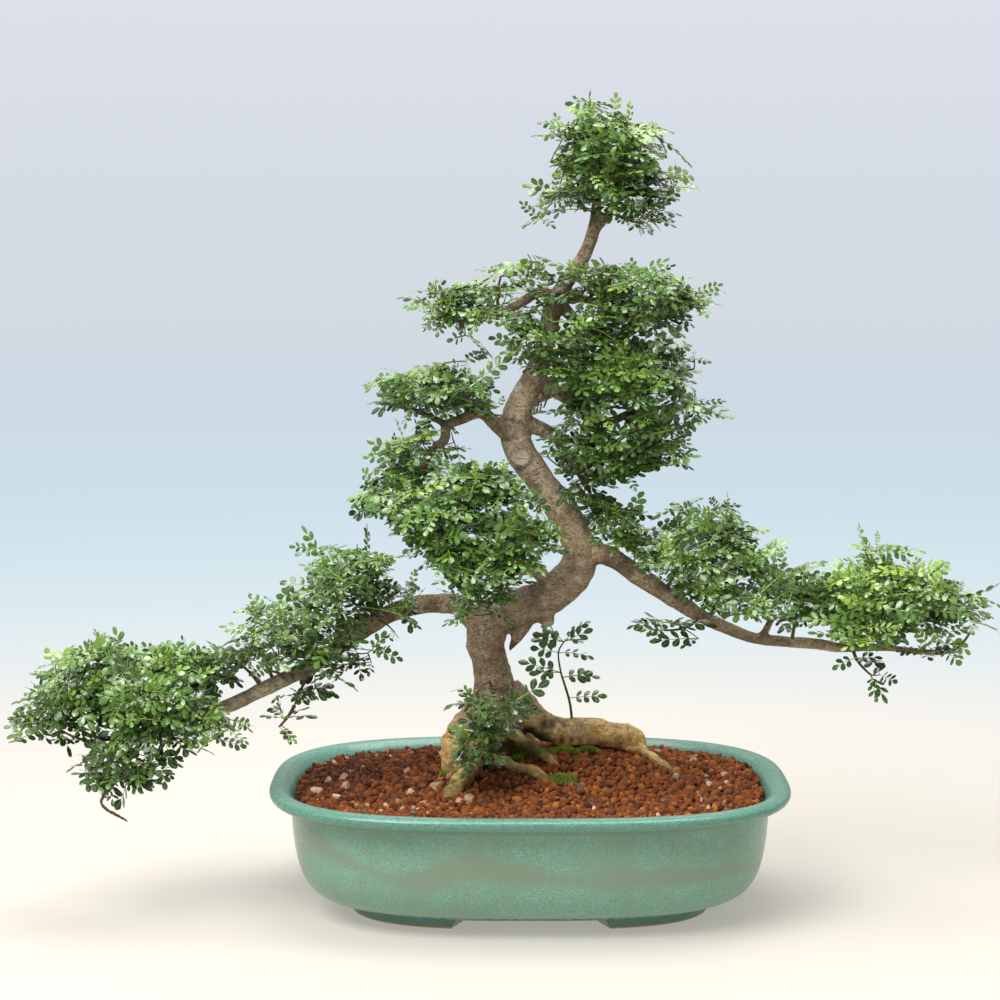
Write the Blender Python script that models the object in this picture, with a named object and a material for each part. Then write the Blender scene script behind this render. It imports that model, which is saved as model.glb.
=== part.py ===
"""Chinese pepper bonsai in a glazed oval pot.

The tree is built as a grower would describe it: a trunk with its roots and
branches, leafy sprays that stand on the branches, granular soil in an oval
pot with four feet, and a screen over each drain hole.  Limb and spray points
are in millimetres, measured from the middle of the pot's foot plane:
x to the right, y to the back, z up.  Blender objects are in metres.
"""

import math
import random

import bmesh
import bpy
from mathutils import Vector
from mathutils.bvhtree import BVHTree

MM = 0.001
SEED = 41
TREE_SHIFT_X = 12.5        # pot middle to the middle of the whole spread
SEAT_GAP = 0.35            # clearance between touching solids
SHARP_ANGLE = math.radians(40)

# Pot: a superellipse in plan, 366 x 274 mm over the lip
POT_HALF_LENGTH = 183.0
POT_HALF_DEPTH = 137.0
POT_ROUNDNESS = 3.0
POT_SIDES = 32
POT_HEIGHT = 89.5
POT_UNDERSIDE = 6.5
POT_FLOOR = 15.0
# Each level is (inset from the lip's outline, height)
POT_OUTER_LEVELS = [
    (60.0, POT_UNDERSIDE), (54.5, 6.8), (50.5, 10.8), (37.5, 13.4), (27.6, 20.0), (21.6, 30.0),
    (17.5, 46.0), (14.6, 79.0), (6.5, 79.8), (1.8, 81.9), (0.0, 85.0),
]
POT_LIP_LEVELS = [(0.9, 88.0), (4.5, POT_HEIGHT), (10.5, 88.8)]
POT_INNER_LEVELS = [(15.3, 84.5), (21.0, 74.0), (25.0, 46.0), (36.0, 24.0), (66.0, POT_FLOOR)]

FOOT_ARC = (10.0, 76.0)    # degrees round each quarter of the oval
FOOT_SLANT = 2.5           # degrees that a foot's end leans in
FOOT_STEPS = 5
FOOT_OUTER_INSET = 56.0
FOOT_INNER_INSET = 74.5
FOOT_SUNK_TOP = 8.5

DRAIN_X = 60.0
DRAIN_RADIUS = 11.0
DRAIN_SIDES = 12
CUT_OVERRUN = 5.0          # how far a cutter runs past the face it cuts
SCREEN_SIDE = 34.0
SCREEN_THICK = 1.5
SCREEN_WINDOW = 12.0
SCREEN_BAR = 3.0

# Soil: levels below the surface, then rings over the mound
SOIL_WALL_LEVELS = [(66.6, POT_FLOOR + SEAT_GAP), (36.7, 24.4), (25.7, 46.2), (21.7, 74.0), (16.8, 83.6)]
SOIL_TOP_INSETS = [30.0, 54.0, 84.0, 112.0]
SOIL_EDGE_HEIGHT = 84.0
SOIL_MOUND_HEIGHT = 18.0
SOIL_MOUND_CENTRE = (20.0, 36.0)
SOIL_MOUND_SPREAD = (95.0, 58.0)
SOIL_GRAIN = 0.9

# Limbs: number of sides, then points (x, y, z, radius) from root to tip
TRUNK = [
    (-24, 28, 64, 15), (-24, 27, 98, 16), (-22, 23, 124, 18), (-25, 20, 147, 15), (-28, 17, 166, 13.2),
    (-31, 14, 184, 14), (-27, 12, 199, 14.6), (-8, 10, 207, 14.5), (17, 10, 219, 13.5), (34, 11, 237, 13),
    (34, 11, 257, 12), (23, 10, 278, 11), (7, 7, 300, 10.5), (-7, 3, 320, 10.7), (-11, 1, 337, 10.5),
    (-6, 0, 355, 10), (2, 0, 371, 8.5), (9, -2, 390, 7.5), (13, -3, 409, 6.8), (18, -2, 427, 6.2),
    (28, 0, 443, 5.5), (38, 2, 458, 5), (44, 3, 474, 4.7), (46, 2, 492, 3.5), (48, 0, 516, 2.5),
    (50, 0, 538, 1.6),
]
LIMBS = {
    "crown_fork": (6, [(44, 3, 474, 3.8), (56, 5, 488, 3), (63, 6, 500, 2.6), (79, 6, 506, 2)]),
    "right_bough": (8, [
        (30, 10, 252, 9), (58, 9, 244, 7.4), (78, 9, 231, 6.8), (99, 10, 217, 6.2), (118, 12, 204.5, 5.5),
        (136, 14, 195, 4.6), (158, 15, 186, 4.3), (179, 16, 183, 4.2), (205, 17, 181, 4),
        (223, 18, 178, 3.5), (252, 19, 178, 2.7), (278, 20, 175, 2.5), (296, 20, 174, 2.2),
    ]),
    "left_bough": (8, [
        (-30, 13, 188, 9), (-49, 8, 209, 7.5), (-65, 4, 212, 7), (-83, 0, 211, 6.7), (-101, -5, 205, 6.5),
        (-118, -10, 195, 6.3), (-136, -15, 183, 6), (-155, -20, 171, 5.8), (-172, -25, 163, 5.6),
        (-190, -29, 155, 5.3), (-206, -32, 147, 5), (-223, -35, 142, 4.3), (-243, -38, 137, 3.6),
        (-266, -40, 129, 3), (-291, -42, 125, 2.2),
    ]),
    "upper_left": (6, [
        (-9, 1, 330, 7), (-20, 1, 336, 5.4), (-34, -1, 348, 4.6), (-49, -3, 343, 4), (-58, -4, 339, 3.8),
        (-60, -5, 329, 3.5), (-69, -7, 321, 3.2), (-77, -9, 308, 2.8), (-83, -10, 299, 2.4),
    ]),
    "upper_left_side": (5, [(-56, -4, 339, 2.8), (-76, -4, 348, 2.2), (-93, -4, 353, 1.7)]),
    "high_left": (6, [
        (16, -2, 428, 4.4), (7, -3, 432, 3.8), (-8, -6, 424, 3.4), (-24, -8, 416, 2.9),
        (-45, -10, 412, 2.1),
    ]),
    "front_bough": (6, [
        (15, 6, 223, 6), (4, -8, 237, 5), (-14, -24, 240, 4.2), (-28, -34, 243, 3.8), (-45, -40, 257, 3.2),
        (-55, -43, 273, 2.5),
    ]),
    "right_low": (6, [(-3, 3, 341, 6), (21, 10, 329, 4.5), (31, 14, 313, 3.6), (42, 18, 292, 2.6)]),
    "right_mid": (6, [
        (4, 1, 372, 5.5), (28, 8, 356, 4.2), (52, 8, 341, 3.4), (73, 7, 348, 2.7), (91, 6, 351, 2),
    ]),
    "right_high": (6, [(19, -1, 427, 4.8), (31, 3, 413, 4), (53, 6, 396, 2.6)]),
    "right_top": (5, [(22, 0, 432, 3.8), (42, 4, 426, 3), (70, 6, 425, 2.2), (91, 5, 422, 1.7)]),
    "back_mid": (6, [(-5, 2, 352, 5), (11, 35, 358, 4), (41, 62, 364, 3), (71, 75, 367, 2.2)]),
    "wedge_stub": (5, [(-1, 10, 207, 9), (-7, 10, 191, 5.5), (-14, 9, 178, 1.4)]),
    "under_stub": (6, [(11, 10, 214, 7), (13, 8, 198, 5)]),
    "right_stub": (5, [(166, 15, 186, 3.2), (170, 13, 194, 2.6), (173, 11, 202, 2.6)]),
    "hanging_twig": (5, [(-151, -19, 171, 2.2), (-159, -20, 158, 1.5), (-165, -22, 144, 1.2)]),
    "bare_twig": (5, [
        (-266, -41, 128, 2.2), (-284, -60, 100, 1.7), (-294, -64, 84, 1.5), (-277, -62, 71, 1.1),
    ]),
}
ROOTS = {
    "right_root": (9, [
        (-16, 22, 146, 12), (0, 27, 128, 11.4), (8, 30, 121, 9.8), (18, 33, 114.5, 9.6),
        (27, 35, 112, 9.3), (41, 38, 113, 9), (53, 40, 111.5, 8.6), (67, 42, 109, 8.6),
        (77, 43, 106, 7.4), (82, 43, 103, 4.6),
    ]),
    "right_root_end": (6, [
        (70, 41, 104, 5), (86, 36, 97, 3.6), (92, 24, 94.5, 3.3), (99, 12, 92, 2.8), (106, 3, 86, 2),
    ]),
    "left_root": (9, [
        (-28, 22, 142, 11), (-42, 16, 124, 11), (-51, 10, 111, 11), (-53, 6, 97, 10), (-52, 5, 80, 9),
    ]),
    "left_front_root": (8, [(-32, 15, 124, 9), (-40, 4, 108, 9), (-41, 0, 94, 8.4), (-41, -2, 79, 7)]),
    "forked_root": (6, [
        (-17, 12, 127, 6.5), (-10, 6, 117, 4.6), (-1, 4, 110, 4.4), (9, 4, 103, 3.6), (17, 3, 97, 3),
        (25, 2, 86, 2.2),
    ]),
    "small_root": (6, [(-36, 4, 106, 4.6), (-25, -2, 101, 3.8), (-14, -5, 98, 3.6), (-4, -9, 84, 2.2)]),
    "pale_root": (7, [(-40, 0, 98, 6), (-45, -17, 93, 6), (-52, -37, 87, 6.4), (-59, -56, 77, 4)]),
    "root_loop": (6, [(-14, 6, 94, 4), (-3, -8, 95, 3.8), (7, -15, 92.5, 4), (16, -24, 84, 2.6)]),
    "back_root": (7, [(-17, 30, 127, 12), (-6, 55, 108, 8), (5, 72, 95, 5), (12, 84, 82, 3)]),
}
TRUNK_SIDES = 11
TRUNK_FLUTES = 3
TRUNK_FLUTE_DEPTH = 0.05

# Sprays: limb that carries it, its foot on the limb, and its furthest tip
SPRAYS = {
    "spray_far_left_tip": ("left_bough", (-291, -42, 125), (-364, -50, 122)),
    "spray_far_left_front": ("left_bough", (-283, -42, 126), (-340, -66, 166)),
    "spray_far_left_top": ("left_bough", (-262, -40, 130), (-290, -26, 196)),
    "spray_left_top": ("left_bough", (-243, -38, 137), (-244, -44, 198)),
    "spray_left_forward": ("left_bough", (-253, -39, 132), (-262, -106, 154)),
    "spray_left_drooping": ("left_bough", (-284, -42, 125), (-320, -62, 92)),
    "spray_left_hanging": ("left_bough", (-257, -39, 131), (-250, -66, 91)),
    "spray_left_inner": ("left_bough", (-229, -36, 141), (-190, -84, 144)),
    "spray_bough_low": ("left_bough", (-187, -28, 156), (-222, -52, 199)),
    "spray_bough_mid": ("left_bough", (-178, -26, 161), (-206, -14, 214)),
    "spray_bough_forward": ("left_bough", (-172, -25, 163), (-184, -88, 184)),
    "spray_knob_left": ("left_bough", (-131, -14, 187), (-166, -36, 232)),
    "spray_knob_top": ("left_bough", (-125, -12, 191), (-153, -10, 260)),
    "spray_knob_right": ("left_bough", (-110, -7, 200), (-100, -32, 262)),
    "spray_under_left": ("hanging_twig", (-165, -22, 144), (-184, -32, 118)),
    "spray_front_tip": ("front_bough", (-55, -43, 273), (-100, -52, 287)),
    "spray_front_inner": ("front_bough", (-42, -39, 254), (-24, -50, 320)),
    "spray_front_right": ("front_bough", (-27, -34, 243), (31, -74, 266)),
    "spray_front_left": ("front_bough", (-36, -37, 250), (-88, -84, 256)),
    "spray_front_low": ("front_bough", (-18, -27, 241), (-38, -64, 200)),
    "spray_mid_left_low": ("upper_left", (-83, -10, 299), (-125, -24, 286)),
    "spray_mid_left": ("upper_left", (-71, -8, 318), (-117, 2, 326)),
    "spray_shelf_tip": ("upper_left_side", (-93, -4, 353), (-112, -8, 378)),
    "spray_shelf_top": ("upper_left", (-49, -3, 343), (-78, -20, 396)),
    "spray_high_left_tip": ("high_left", (-45, -10, 412), (-82, -14, 430)),
    "spray_high_left_top": ("high_left", (-22, -8, 417), (-20, -22, 464)),
    "spray_crown_top": ("trunk", (50, 0, 538), (48, -4, 573)),
    "spray_crown_left": ("trunk", (48, 0, 514), (-2, -12, 524)),
    "spray_crown_right": ("trunk", (50, 0, 533), (103, -12, 552)),
    "spray_crown_front": ("trunk", (48, 0, 520), (36, -64, 508)),
    "spray_crown_low": ("crown_fork", (56, 5, 488), (95, -8, 472)),
    "spray_crown_tip": ("crown_fork", (79, 6, 506), (118, 4, 516)),
    "spray_crown_back": ("crown_fork", (66, 6, 501), (58, 62, 524)),
    "spray_collar_top": ("right_top", (52, 4, 426), (66, -22, 462)),
    "spray_neck": ("trunk", (12, -3, 400), (-14, -44, 392)),
    "spray_collar_tip": ("right_top", (91, 5, 422), (134, 2, 434)),
    "spray_collar_low": ("right_high", (53, 6, 396), (113, -18, 398)),
    "spray_shoulder_tip": ("right_mid", (91, 6, 351), (151, -6, 349)),
    "spray_shoulder_top": ("right_mid", (76, 7, 348), (135, 14, 392)),
    "spray_shoulder_front": ("right_mid", (48, 8, 343), (34, -54, 380)),
    "spray_shoulder_low": ("right_mid", (66, 7, 346), (108, -30, 314)),
    "spray_shoulder_back": ("back_mid", (71, 75, 367), (114, 88, 360)),
    "spray_right_inner": ("right_bough", (60, 9, 244), (74, -12, 286)),
    "spray_right_top": ("right_bough", (96, 10, 220), (108, -8, 300)),
    "spray_right_outer": ("right_bough", (126, 13, 200), (172, -18, 264)),
    "spray_right_forward": ("right_bough", (104, 11, 214), (118, -58, 232)),
    "spray_right_hanging": ("right_bough", (122, 12, 203), (76, -18, 188)),
    "spray_arm_left": ("right_bough", (186, 16, 183), (192, -12, 246)),
    "spray_arm_top": ("right_bough", (223, 18, 178), (246, 10, 260)),
    "spray_arm_high": ("right_bough", (254, 19, 178), (286, -30, 248)),
    "spray_arm_tip": ("right_bough", (296, 20, 174), (334, 8, 214)),
    "spray_arm_forward": ("right_bough", (250, 19, 178), (236, -54, 204)),
    "spray_arm_hanging": ("right_bough", (232, 18, 178), (252, 0, 146)),
    "sprig_at_base": ("trunk", (-24, 20, 144), (-30, -40, 170)),
    "sprout_on_root": ("right_root", (32, 36, 112), (27, 27, 196)),
}

# Fronds: one thin arched blade each, with two pairs of leaflets and an end leaflet
FROND_LENGTH = 43.0
FROND_THICK = 0.8
FROND_DROOP = 0.004        # drop per square millimetre from the foot
FROND_RIB_HALF = 0.8
LEAFLET_LENGTH = 14.0
LEAFLET_WIDTH = 9.0
LEAFLET_FOOT_HALF = 1.0
LEAFLET_SHOULDERS = (0.80, 0.98)   # how far out the blunt end's two corners lie
LEAFLET_ANGLE = math.radians(54)
LEAFLET_LIFT = 0.16        # rise of a leaflet's edge per millimetre out
PAIR_PLACES = (0.30, 0.56)
STEM_SIDES = 4
STEM_RADIUS = 1.5
STEM_POINTS = 3
SIDE_SEATS = (0.45, 0.85)  # places of the side fronds along the stem
LONG_REACH = 66.0          # sprays longer than this have a second side frond
END_SHARE = 0.68           # most of a short spray that its end frond takes
END_SUNK = 3.0             # foot of the end frond sunk in the stem
END_SPREAD = 0.12
STEM_BEND = 0.45           # how far a stem keeps its first direction, as a share of its chord
STEM_TAPER = 0.15
LIMB_END_SHARE = 0.98      # past this share of its last span, a spray carries the limb on
BARK_SEARCH = 1.5          # how far from a limb's axis its bark is looked for, in radii
FROND_CLEARANCE = 0.35
FROND_TRIES = 40
SIDE_FROND_SHARES = (0.86, 1.0)    # a side frond's length, as a share of FROND_LENGTH
RETRY_SHARE = 0.85         # length of a frond in the later tries
FROND_OPENING = (48, 78)   # degrees between a side frond and its stem
FROND_ROLL_SPREAD = 0.7
FROND_FLATTENING = 0.8     # how far side fronds keep to the level plane
FACE_SIDEWAYS = (-0.5, 0.5)
FACE_FORWARD = (-0.9, 0.1)         # upper faces lean to the front, towards the light
LEAFLET_END_WIDTH = 0.8    # blunt end of the last leaflet, as a share of its width
GOLDEN_ANGLE = math.radians(137.5)


def place(x, y, z):
    """Point in metres in the part's frame, from millimetres about the pot's foot."""
    return Vector(((x + TREE_SHIFT_X) * MM, y * MM, z * MM))


def make_material(name, colour, roughness):
    """Plain principled material."""
    material = bpy.data.materials.new(name)
    material.use_nodes = True
    shader = material.node_tree.nodes["Principled BSDF"]
    shader.inputs["Base Color"].default_value = (*colour, 1.0)
    shader.inputs["Roughness"].default_value = roughness
    shader.inputs["Metallic"].default_value = 0.0
    return material


def make_object(name, bm, material=None, collection=None):
    """Object from a bmesh, its faces turned outwards."""
    bmesh.ops.recalc_face_normals(bm, faces=bm.faces)
    mesh = bpy.data.meshes.new(name)
    bm.to_mesh(mesh)
    bm.free()
    if material:
        mesh.materials.append(material)
    obj = bpy.data.objects.new(name, mesh)
    (collection or bpy.context.scene.collection).objects.link(obj)
    return obj


def loft(bm, rings):
    """Skin over a row of rings with the same number of points, closed at both ends."""
    rows = [[bm.verts.new(point) for point in ring] for ring in rings]
    count = len(rows[0])
    for low, high in zip(rows, rows[1:]):
        for i in range(count):
            j = (i + 1) % count
            bm.faces.new((low[i], low[j], high[j], high[i]))
    bm.faces.new(list(reversed(rows[0])))
    bm.faces.new(rows[-1])


def apply_boolean(obj, helpers, operation, solver="EXACT"):
    """Join or cut obj with a list of helper objects, then remove the helpers."""
    group = bpy.data.collections.new(obj.name + "_helpers")
    bpy.context.scene.collection.children.link(group)
    for helper in helpers:
        for owner in list(helper.users_collection):
            owner.objects.unlink(helper)
        group.objects.link(helper)
    modifier = obj.modifiers.new("join", "BOOLEAN")
    modifier.operation = operation
    modifier.operand_type = "COLLECTION"
    modifier.collection = group
    modifier.solver = solver
    bpy.context.view_layer.update()
    graph = bpy.context.evaluated_depsgraph_get()
    joined = bpy.data.meshes.new_from_object(obj.evaluated_get(graph))
    obj.modifiers.clear()
    obj.data = joined
    for helper in helpers:
        bpy.data.objects.remove(helper, do_unlink=True)
    bpy.data.collections.remove(group)
    keep_largest_body(obj)


def keep_largest_body(obj):
    """Drop loose scraps: only the body with the most faces stays."""
    bm = bmesh.new()
    bm.from_mesh(obj.data)
    unseen = set(bm.verts)
    bodies = []
    while unseen:
        stack = [unseen.pop()]
        body = set(stack)
        while stack:
            for edge in stack.pop().link_edges:
                for vert in edge.verts:
                    if vert in unseen:
                        unseen.remove(vert)
                        body.add(vert)
                        stack.append(vert)
        bodies.append(body)
    bodies.sort(key=len)
    for body in bodies[:-1]:
        bmesh.ops.delete(bm, geom=list(body), context="VERTS")
    bmesh.ops.triangulate(bm, faces=bm.faces)
    bm.to_mesh(obj.data)
    bm.free()


def shade_round(obj):
    """Smooth shading, with sharp edges kept where two faces meet steeply."""
    obj.data.shade_smooth()
    obj.data.set_sharp_from_angle(angle=SHARP_ANGLE)


def triangle_tree(obj):
    """Search tree over an object's triangles."""
    bm = bmesh.new()
    bm.from_mesh(obj.data)
    bmesh.ops.triangulate(bm, faces=bm.faces)
    tree = BVHTree.FromBMesh(bm)
    bm.free()
    return tree


def oval_point(inset, angle):
    """Point (x, y) of the pot's superellipse, inset from the lip's outline."""
    power = 2.0 / POT_ROUNDNESS
    cosine, sine = math.cos(angle), math.sin(angle)
    x = (POT_HALF_LENGTH - inset) * math.copysign(abs(cosine) ** power, cosine)
    y = (POT_HALF_DEPTH - inset) * math.copysign(abs(sine) ** power, sine)
    return x, y


def oval_ring(inset, height):
    """Ring of points round the pot at one level."""
    ring = []
    for i in range(POT_SIDES):
        x, y = oval_point(inset, math.tau * i / POT_SIDES)
        z = height(x, y) if callable(height) else height
        ring.append(place(x, y, z))
    return ring


def build_foot(side_x, side_y):
    """Curved foot under one quarter of the oval, with leaning ends."""
    bm = bmesh.new()
    rings = []
    start, end = FOOT_ARC
    for i in range(FOOT_STEPS + 1):
        share = i / FOOT_STEPS
        top = math.radians(start + (end - start) * share)
        bottom = top + math.radians(FOOT_SLANT) * (1.0 - 2.0 * share)
        ring = []
        for inset, angle, z in (
            (FOOT_OUTER_INSET, bottom, 0.0),
            (FOOT_OUTER_INSET - 1.0, top, FOOT_SUNK_TOP),
            (FOOT_INNER_INSET, top, FOOT_SUNK_TOP),
            (FOOT_INNER_INSET, bottom, 0.0),
        ):
            x, y = oval_point(inset, angle)
            ring.append(place(side_x * x, side_y * y, z))
        rings.append(ring)
    loft(bm, rings)
    return make_object("foot", bm)


def build_pot(glaze):
    """Oval pot: lofted wall with a rolled lip, four feet and two drain holes."""
    bm = bmesh.new()
    levels = POT_OUTER_LEVELS + POT_LIP_LEVELS + POT_INNER_LEVELS
    loft(bm, [oval_ring(inset, z) for inset, z in levels])
    pot = make_object("pot", bm, glaze)
    feet = [build_foot(sx, sy) for sx in (-1, 1) for sy in (-1, 1)]
    apply_boolean(pot, feet, "UNION")
    drills = []
    for side in (-1, 1):
        bm = bmesh.new()
        rings = []
        circle = [math.tau * i / DRAIN_SIDES for i in range(DRAIN_SIDES)]
        for z in (POT_UNDERSIDE - CUT_OVERRUN, POT_FLOOR + CUT_OVERRUN):
            rings.append([place(side * DRAIN_X + DRAIN_RADIUS * math.cos(a), DRAIN_RADIUS * math.sin(a), z)
                          for a in circle])
        loft(bm, rings)
        drills.append(make_object("drill", bm))
    apply_boolean(pot, drills, "DIFFERENCE")
    shade_round(pot)
    return pot


def build_box(name, centre, size, material=None):
    """Box from its centre and size, in millimetres."""
    bm = bmesh.new()
    rings = []
    for end in (-0.5, 0.5):
        z = centre[2] + end * size[2]
        rings.append([place(centre[0] + sx * size[0] / 2, centre[1] + sy * size[1] / 2, z)
                      for sx, sy in ((-1, -1), (1, -1), (1, 1), (-1, 1))])
    loft(bm, rings)
    return make_object(name, bm, material)


def build_screen(name, x, plastic):
    """Square screen with four windows, over a drain hole."""
    z = POT_FLOOR + SEAT_GAP + SCREEN_THICK / 2
    screen = build_box(name, (x, 0, z), (SCREEN_SIDE, SCREEN_SIDE, SCREEN_THICK), plastic)
    step = (SCREEN_WINDOW + SCREEN_BAR) / 2
    opening = (SCREEN_WINDOW, SCREEN_WINDOW, CUT_OVERRUN)
    windows = [build_box("window", (x + sx * step, sy * step, z), opening)
               for sx in (-1, 1) for sy in (-1, 1)]
    apply_boolean(screen, windows, "DIFFERENCE")
    return screen


def soil_height(x, y):
    """Mound of soil round the tree, falling to the pot's edge."""
    dx = (x - SOIL_MOUND_CENTRE[0]) / SOIL_MOUND_SPREAD[0]
    dy = (y - SOIL_MOUND_CENTRE[1]) / SOIL_MOUND_SPREAD[1]
    return SOIL_EDGE_HEIGHT + SOIL_MOUND_HEIGHT * math.exp(-dx * dx - dy * dy)


def build_soil(earth, draw):
    """Soil body that fills the pot, with a grainy mounded top."""
    def grainy(x, y):
        """Height of the mound with the lumps of the granules."""
        return soil_height(x, y) + draw.uniform(-SOIL_GRAIN, SOIL_GRAIN)

    bm = bmesh.new()
    rings = [oval_ring(inset, z) for inset, z in SOIL_WALL_LEVELS]
    rings += [oval_ring(inset, grainy) for inset in SOIL_TOP_INSETS]
    loft(bm, rings)
    bmesh.ops.triangulate(bm, faces=bm.faces)
    soil = make_object("soil", bm, earth)
    recess = SCREEN_SIDE + 2 * SEAT_GAP
    height = 2 * (SCREEN_THICK + 2 * SEAT_GAP)
    seats = [build_box("seat", (x, 0, POT_FLOOR + SEAT_GAP), (recess, recess, height))
             for x in (-DRAIN_X, DRAIN_X)]
    apply_boolean(soil, seats, "DIFFERENCE")
    return soil


def limb_rings(points, sides, growth=0.0, flutes=0, depth=0.0):
    """Rings round a limb's line, each square to it and turned with the one before."""
    line = [place(*point[:3]) for point in points]
    radii = [(point[3] + growth) * MM for point in points]
    tangents = []
    for i, here in enumerate(line):
        before, after = line[max(i - 1, 0)], line[min(i + 1, len(line) - 1)]
        tangents.append((after - before).normalized())
    if growth:
        line[0] = line[0] - tangents[0] * growth * MM
        line[-1] = line[-1] + tangents[-1] * growth * MM
    across = tangents[0].orthogonal().normalized()
    rings = []
    for centre, tangent, radius in zip(line, tangents, radii):
        across = (across - tangent * across.dot(tangent)).normalized()
        other = tangent.cross(across)
        ring = []
        for k in range(sides):
            angle = math.tau * k / sides
            reach = radius * (1.0 + depth * math.cos(flutes * angle))
            ring.append(centre + across * reach * math.cos(angle) + other * reach * math.sin(angle))
        rings.append(ring)
    return rings


def build_limb(name, points, sides, material=None, growth=0.0, flutes=0, depth=0.0):
    """Tapered tube along a limb's line."""
    bm = bmesh.new()
    loft(bm, limb_rings(points, sides, growth, flutes, depth))
    return make_object(name, bm, material)


def build_wood(bark):
    """Trunk, boughs and roots grown together as one body."""
    wood = build_limb("trunk_and_branches", TRUNK, TRUNK_SIDES, bark, 0.0, TRUNK_FLUTES, TRUNK_FLUTE_DEPTH)
    limbs = [build_limb(name, points, sides) for name, (sides, points) in {**LIMBS, **ROOTS}.items()]
    apply_boolean(wood, limbs, "UNION")
    shade_round(wood)
    return wood


def cut_root_holes(soil):
    """Plain holes in the soil where the trunk's foot and the roots stand."""
    cutters = [build_limb("hole", TRUNK[:3], TRUNK_SIDES, None, SEAT_GAP, TRUNK_FLUTES, TRUNK_FLUTE_DEPTH)]
    for sides, points in ROOTS.values():
        cutters.append(build_limb("hole", points, sides, None, SEAT_GAP))
    apply_boolean(soil, cutters, "DIFFERENCE")


def limb_foot(limb_name, foot, tip, bark_tree):
    """Where a spray leaves its limb: start point and first direction.

    A spray on the limb's end carries its line on.  Another one stands square
    to the limb, on the side that faces its tip: a ray towards the limb's axis
    finds the bark, and a slanting face of it takes a little more clearance.
    """
    points = TRUNK if limb_name == "trunk" else {**LIMBS, **ROOTS}[limb_name][1]
    line = [place(*point[:3]) for point in points]
    foot, tip = place(*foot), place(*tip)
    nearest = None
    for i in range(len(line) - 1):
        span = line[i + 1] - line[i]
        share = min(max((foot - line[i]).dot(span) / span.length_squared, 0.0), 1.0)
        near = line[i] + span * share
        distance = (near - foot).length
        if nearest is None or distance < nearest[0] - 1e-9:
            radius = max(points[i][3], points[i + 1][3]) * MM
            nearest = (distance, near, span.normalized(), radius,
                       i == len(line) - 2 and share > LIMB_END_SHARE)
    _, near, tangent, radius, at_end = nearest
    if at_end:
        return line[-1] + tangent * SEAT_GAP * MM, tangent
    out = tip - near
    out = (out - tangent * out.dot(tangent)).normalized()
    hit, normal, _, _ = bark_tree.ray_cast(near + out * radius * BARK_SEARCH, -out)
    slant = math.sqrt(max(1.0 - normal.dot(out) ** 2, 0.0))
    return hit + out * (SEAT_GAP + STEM_RADIUS * slant) * MM, out


class Spray:
    """One leafy spray: its stem's line and the fronds placed on it so far."""

    def __init__(self, name, limb_name, foot, tip, bark_tree):
        self.name = name
        start, self.first = limb_foot(limb_name, foot, tip, bark_tree)
        self.tip = place(*tip)
        self.reach = (self.tip - start).length
        self.end_length = min(FROND_LENGTH * MM, self.reach * END_SHARE)
        end = self.tip - (self.tip - start).normalized() * self.end_length
        bend = start + self.first * (end - start).length * STEM_BEND
        self.line = []
        for i in range(STEM_POINTS):
            t = i / (STEM_POINTS - 1)
            self.line.append(start * (1 - t) ** 2 + bend * 2 * t * (1 - t) + end * t * t)
        self.fronds = []

    def stem(self):
        """Slender stem along the line, square to its limb at the foot."""
        bm = bmesh.new()
        rings = []
        across = self.first.orthogonal().normalized()
        for i, centre in enumerate(self.line):
            tangent = self.first if i == 0 else (centre - self.line[i - 1]).normalized()
            across = (across - tangent * across.dot(tangent)).normalized()
            other = tangent.cross(across)
            radius = STEM_RADIUS * MM * (1.0 - STEM_TAPER * i / (STEM_POINTS - 1))
            rings.append([centre + (across * math.cos(a) + other * math.sin(a)) * radius
                          for a in (math.tau * k / STEM_SIDES for k in range(STEM_SIDES))])
        loft(bm, rings)
        bmesh.ops.recalc_face_normals(bm, faces=bm.faces)
        return bm

    def seat(self, order, draw):
        """Foot, stem direction and length of one frond; order 0 is the end frond."""
        if order == 0:
            aim = (self.tip - self.line[-1]).normalized()
            return self.line[-1] - aim * END_SUNK * MM, aim, self.end_length / MM + END_SUNK
        share = SIDE_SEATS[order - 1] * (STEM_POINTS - 1)
        index = min(int(share), STEM_POINTS - 2)
        origin = self.line[index].lerp(self.line[index + 1], share - index)
        tangent = (self.line[index + 1] - self.line[index]).normalized()
        return origin, tangent, FROND_LENGTH * draw.uniform(*SIDE_FROND_SHARES)

    def add_frond(self, order, turn, obstacles, draw):
        """Try places for one frond until it lies clear of everything else."""
        origin, tangent, length = self.seat(order, draw)
        for attempt in range(FROND_TRIES):
            along, face = frond_direction(order, turn, tangent, draw)
            size = length if attempt < FROND_TRIES // 2 else length * RETRY_SHARE
            guard = build_frond(origin, along, face, size, FROND_CLEARANCE)
            guard_tree = BVHTree.FromBMesh(guard)
            guard.free()
            if not any(guard_tree.overlap(tree) for tree in obstacles):
                self.fronds.append(build_frond(origin, along, face, size))
                return guard_tree
        return None

    def fuse(self, leaf):
        """Join the stem and its fronds into one body."""
        spray = make_object(self.name, self.stem(), leaf)
        if self.fronds:
            blades = [make_object("frond", blade) for blade in self.fronds]
            apply_boolean(spray, blades, "UNION", "MANIFOLD")
        return spray


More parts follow.
